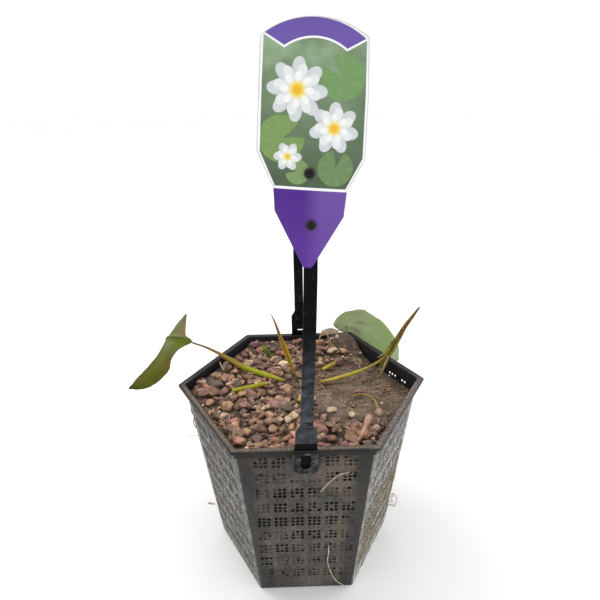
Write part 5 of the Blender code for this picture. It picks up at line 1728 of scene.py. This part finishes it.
def dry_skin(name, base, blotched=(112, 78, 56), deep=(70, 48, 34), line=None):
    """Dead plant matter: fibrous and blotched, with a dark line along one edge if asked."""
    s = Shade(name)
    place = s.place()
    fibre = s.noise(place, 520.0, 5.0, 0.7)
    blotch = s.noise(place, 130.0, 4.0, 0.6)
    colour = s.over(base, blotch, 0.42, 0.66, blotched, 0.7)
    colour = s.over(colour, fibre, 0.5, 0.7, deep, 0.6)
    if line:
        colour = s.over(colour, s.split(s.uv())[0], 0.86, 0.93, line)
    return s.finish(colour, 0.8, s.bump(fibre, 0.4), specular=0.2)


def circle_through(a, b, c):
    """Centre and radius of the circle through three points."""
    ax, ay, bx, by, cx, cy = *a, *b, *c
    d = 2 * (ax * (by - cy) + bx * (cy - ay) + cx * (ay - by))
    aa, bb, cc = ax * ax + ay * ay, bx * bx + by * by, cx * cx + cy * cy
    x = (aa * (by - cy) + bb * (cy - ay) + cc * (ay - by)) / d
    y = (aa * (cx - bx) + bb * (ax - cx) + cc * (bx - ax)) / d
    return (x, y), hypot(ax - x, ay - y)


class Print(Shade):
    """A printed design in a card's own millimetres: each shape is a signed distance, above 0 inside it."""

    def __init__(self, name):
        super().__init__(name)
        self.where = self.uv()

    def left_of(self, p, q):
        """Inside is to the left of the line from p to q."""
        dx, dy = q[0] - p[0], q[1] - p[1]
        size = hypot(dx, dy)
        nx, ny = -dy / size, dx / size
        dot = self.vector("DOT_PRODUCT", self.where, (nx, ny, 0.0))
        return dot - (nx * p[0] + ny * p[1])

    def edges(self, *corners):
        """The insides of the lines from corner to corner."""
        return [self.left_of(p, q) for p, q in zip(corners, corners[1:])]

    def disc(self, middle, radius):
        away = self.vector("DISTANCE", self.where, (*middle, 0.0))
        return radius - away

    def around(self, middle):
        """The way and the distance from a point."""
        offset = self.node("VectorMath", {0: self.where, 1: (*middle, 0.0)}, "Vector", operation="SUBTRACT")
        x, y, _ = self.split(offset)
        size = self.node("VectorMath", {0: offset}, "Value", operation="LENGTH")
        return self.math("ARCTAN2", y, x), size

    def ink(self, inside, base, colour, soft=0.25, strength=1.0):
        return self.over(base, inside, -soft, soft, colour, strength, smooth=True)

    def blossom(self, base, middle, radius, petals, turn):
        """A plain many-petalled blossom with a yellow middle."""
        angle, away = self.around(middle)
        for share, twist, light in ((1.0, 0.0, (206, 212, 214)), (0.8, 0.5, (226, 230, 230)),
                (0.56, 0.0, (240, 242, 240))):
            phase = angle * (petals / 2) + (turn + twist * pi / 2)
            lobe = self.math("POWER", abs(self.math("COSINE", phase)), 0.7)
            reach = (lobe * 0.5 + 0.5) * (radius * share)
            shade = self.scale(lobe, 0.0, 0.9, 0.72, 1.0)
            tone = self.dim(light, shade)
            base = self.ink(reach - away, base, tone, 0.3)
        base = self.ink(radius * 0.26 - away, base, (238, 214, 96), 1.4)
        return self.ink(radius * 0.15 - away, base, (236, 182, 40), 0.9)

    def pad(self, base, middle, radius, notch, colour):
        """A round floating leaf with a notch."""
        angle, away = self.around(middle)
        turned = angle - notch
        gap = self.scale(self.math("COSINE", turned), 0.94, 1.0, 0.0, radius)
        edge = radius - gap - away
        rays = self.math("COSINE", turned * 9.0)
        tone = self.over(colour, rays, 0.8, 1.0, (150, 170, 110), 0.3)
        return self.ink(edge, base, tone, 0.3)


def card_print():
    """White border, plain violet band and foot, and between them a simple pond design of its own."""
    s = Print("card_print")
    violet, foot_violet, white = (104, 82, 164), (70, 22, 132), (244, 244, 246)
    u, v, _ = s.split(s.where)
    band_left = ((-25.3, 95.8), (-15.7, 90.2))
    band_right = ((15.4, 89.1), (24.5, 93.8))
    outer = circle_through(band_left[0], (-1.8, 102.8), band_right[1])
    inner = circle_through(band_left[1], (-1.5, 94.6), band_right[0])
    roof = s.most(s.disc(*outer), 60.0 - v)
    panel = s.least(*s.edges((-20.2, 21.7), (18.0, 20.0), (26.5, 36.4), (26.0, 68.0), (24.9, 94.5)), roof,
        *s.edges((-26.0, 95.7), (-27.1, 68.0), (-28.4, 40.2), (-20.2, 21.7)))
    band = s.least(s.disc(*outer), s.disc(*inner) * -1.0, s.left_of(*band_left), s.left_of(*band_right))
    foot = s.left_of((-20.7, 20.3), (18.9, 18.5)) * -1.0
    arch_left, arch_right = [(CARD_ARCH_X + half, CARD_ARCH_Z) for half in (-CARD_ARCH_HALF, CARD_ARCH_HALF)]
    arch = circle_through(arch_left, (CARD_ARCH_X, CARD_ARCH_Z + CARD_ARCH_RISE), arch_right)
    border = s.least(*s.edges(*CARD_SIDE[-3:], arch_right), s.disc(*arch),
        *s.edges(arch_left, *CARD_OTHER_SIDE[:3]))

    blur = s.noise(s.where, 0.05, 3.0, 0.5)
    # Lighter towards the top: partly the print, partly painted light.
    green = s.over((70, 88, 66), v, 25.0, 95.0, (150, 176, 140))
    green = s.over(green, blur, 0.35, 0.65, (78, 100, 70), 0.7)
    for middle, radius, notch, colour in (((14.0, 76.0), 11.0, 2.4, (112, 150, 92)),
            ((-17.0, 46.0), 12.0, 0.4, (118, 150, 84)), ((12.0, 31.0), 9.5, 1.4, (104, 136, 88)),
            ((-8.0, 29.0), 6.5, 2.9, (120, 148, 96))):
        green = s.pad(green, middle, radius, notch, colour)
    green = s.blossom(green, (-9.0, 70.0), 15.5, 8, 0.3)
    green = s.blossom(green, (10.5, 51.5), 13.0, 7, 0.9)
    green = s.blossom(green, (-13.5, 37.0), 7.5, 6, 0.1)

    colour = s.ink(panel, white, green, 0.12)
    colour = s.ink(band + 0.95, colour, white, 0.12)
    colour = s.ink(band, colour, violet, 0.12)
    # Painted sheen: the foot is lighter to the right, where the bowed card catches the light.
    fade = s.scale(u, -6.0, 7.0, 0.0, 0.6, smooth=True)
    violets_with_sheen = s.mix(fade, foot_violet, (122, 92, 172))
    violets_with_sheen = s.over(violets_with_sheen, v, 18.0, -16.0, (90, 40, 146), 0.5)
    colour = s.ink(foot, colour, violets_with_sheen, 0.12)
    colour = s.mix(s.scale(border, 0.25, 0.6, 0.5, 0.0) * s.scale(v, 19.0, 21.0), colour, (150, 150, 156))
    specks = s.scale(s.cells(s.where, 0.55), 0.0, 0.13, 1.0, 0.0)
    specks = specks * s.scale(s.noise(s.where, 0.07, 2.0), 0.56, 0.66, 0.0, 0.75)
    colour = s.mix(specks, colour, (92, 90, 84))
    behind = s.scale(s.split(s.normal())[1], 0.1, 0.3)
    colour = s.mix(behind, colour, s.mix(specks, (234, 234, 236), (176, 172, 164)))
    scuff = s.noise(s.where, 0.9, 5.0, 0.6)
    return s.finish(colour, s.grade(scuff, 0.26, 0.42), s.bump(scuff, 0.06), coat=0.1,
        specular=0.3)


def build():
    camera()
    stage_and_light()
    plugs = basket()
    silt_plugs(plugs)
    brackets()
    handle_strap()
    label_card()
    studs()
    silt()
    gravel(named_stones())
    plant()
    litter()
    mud_bits()
    roots()


build()
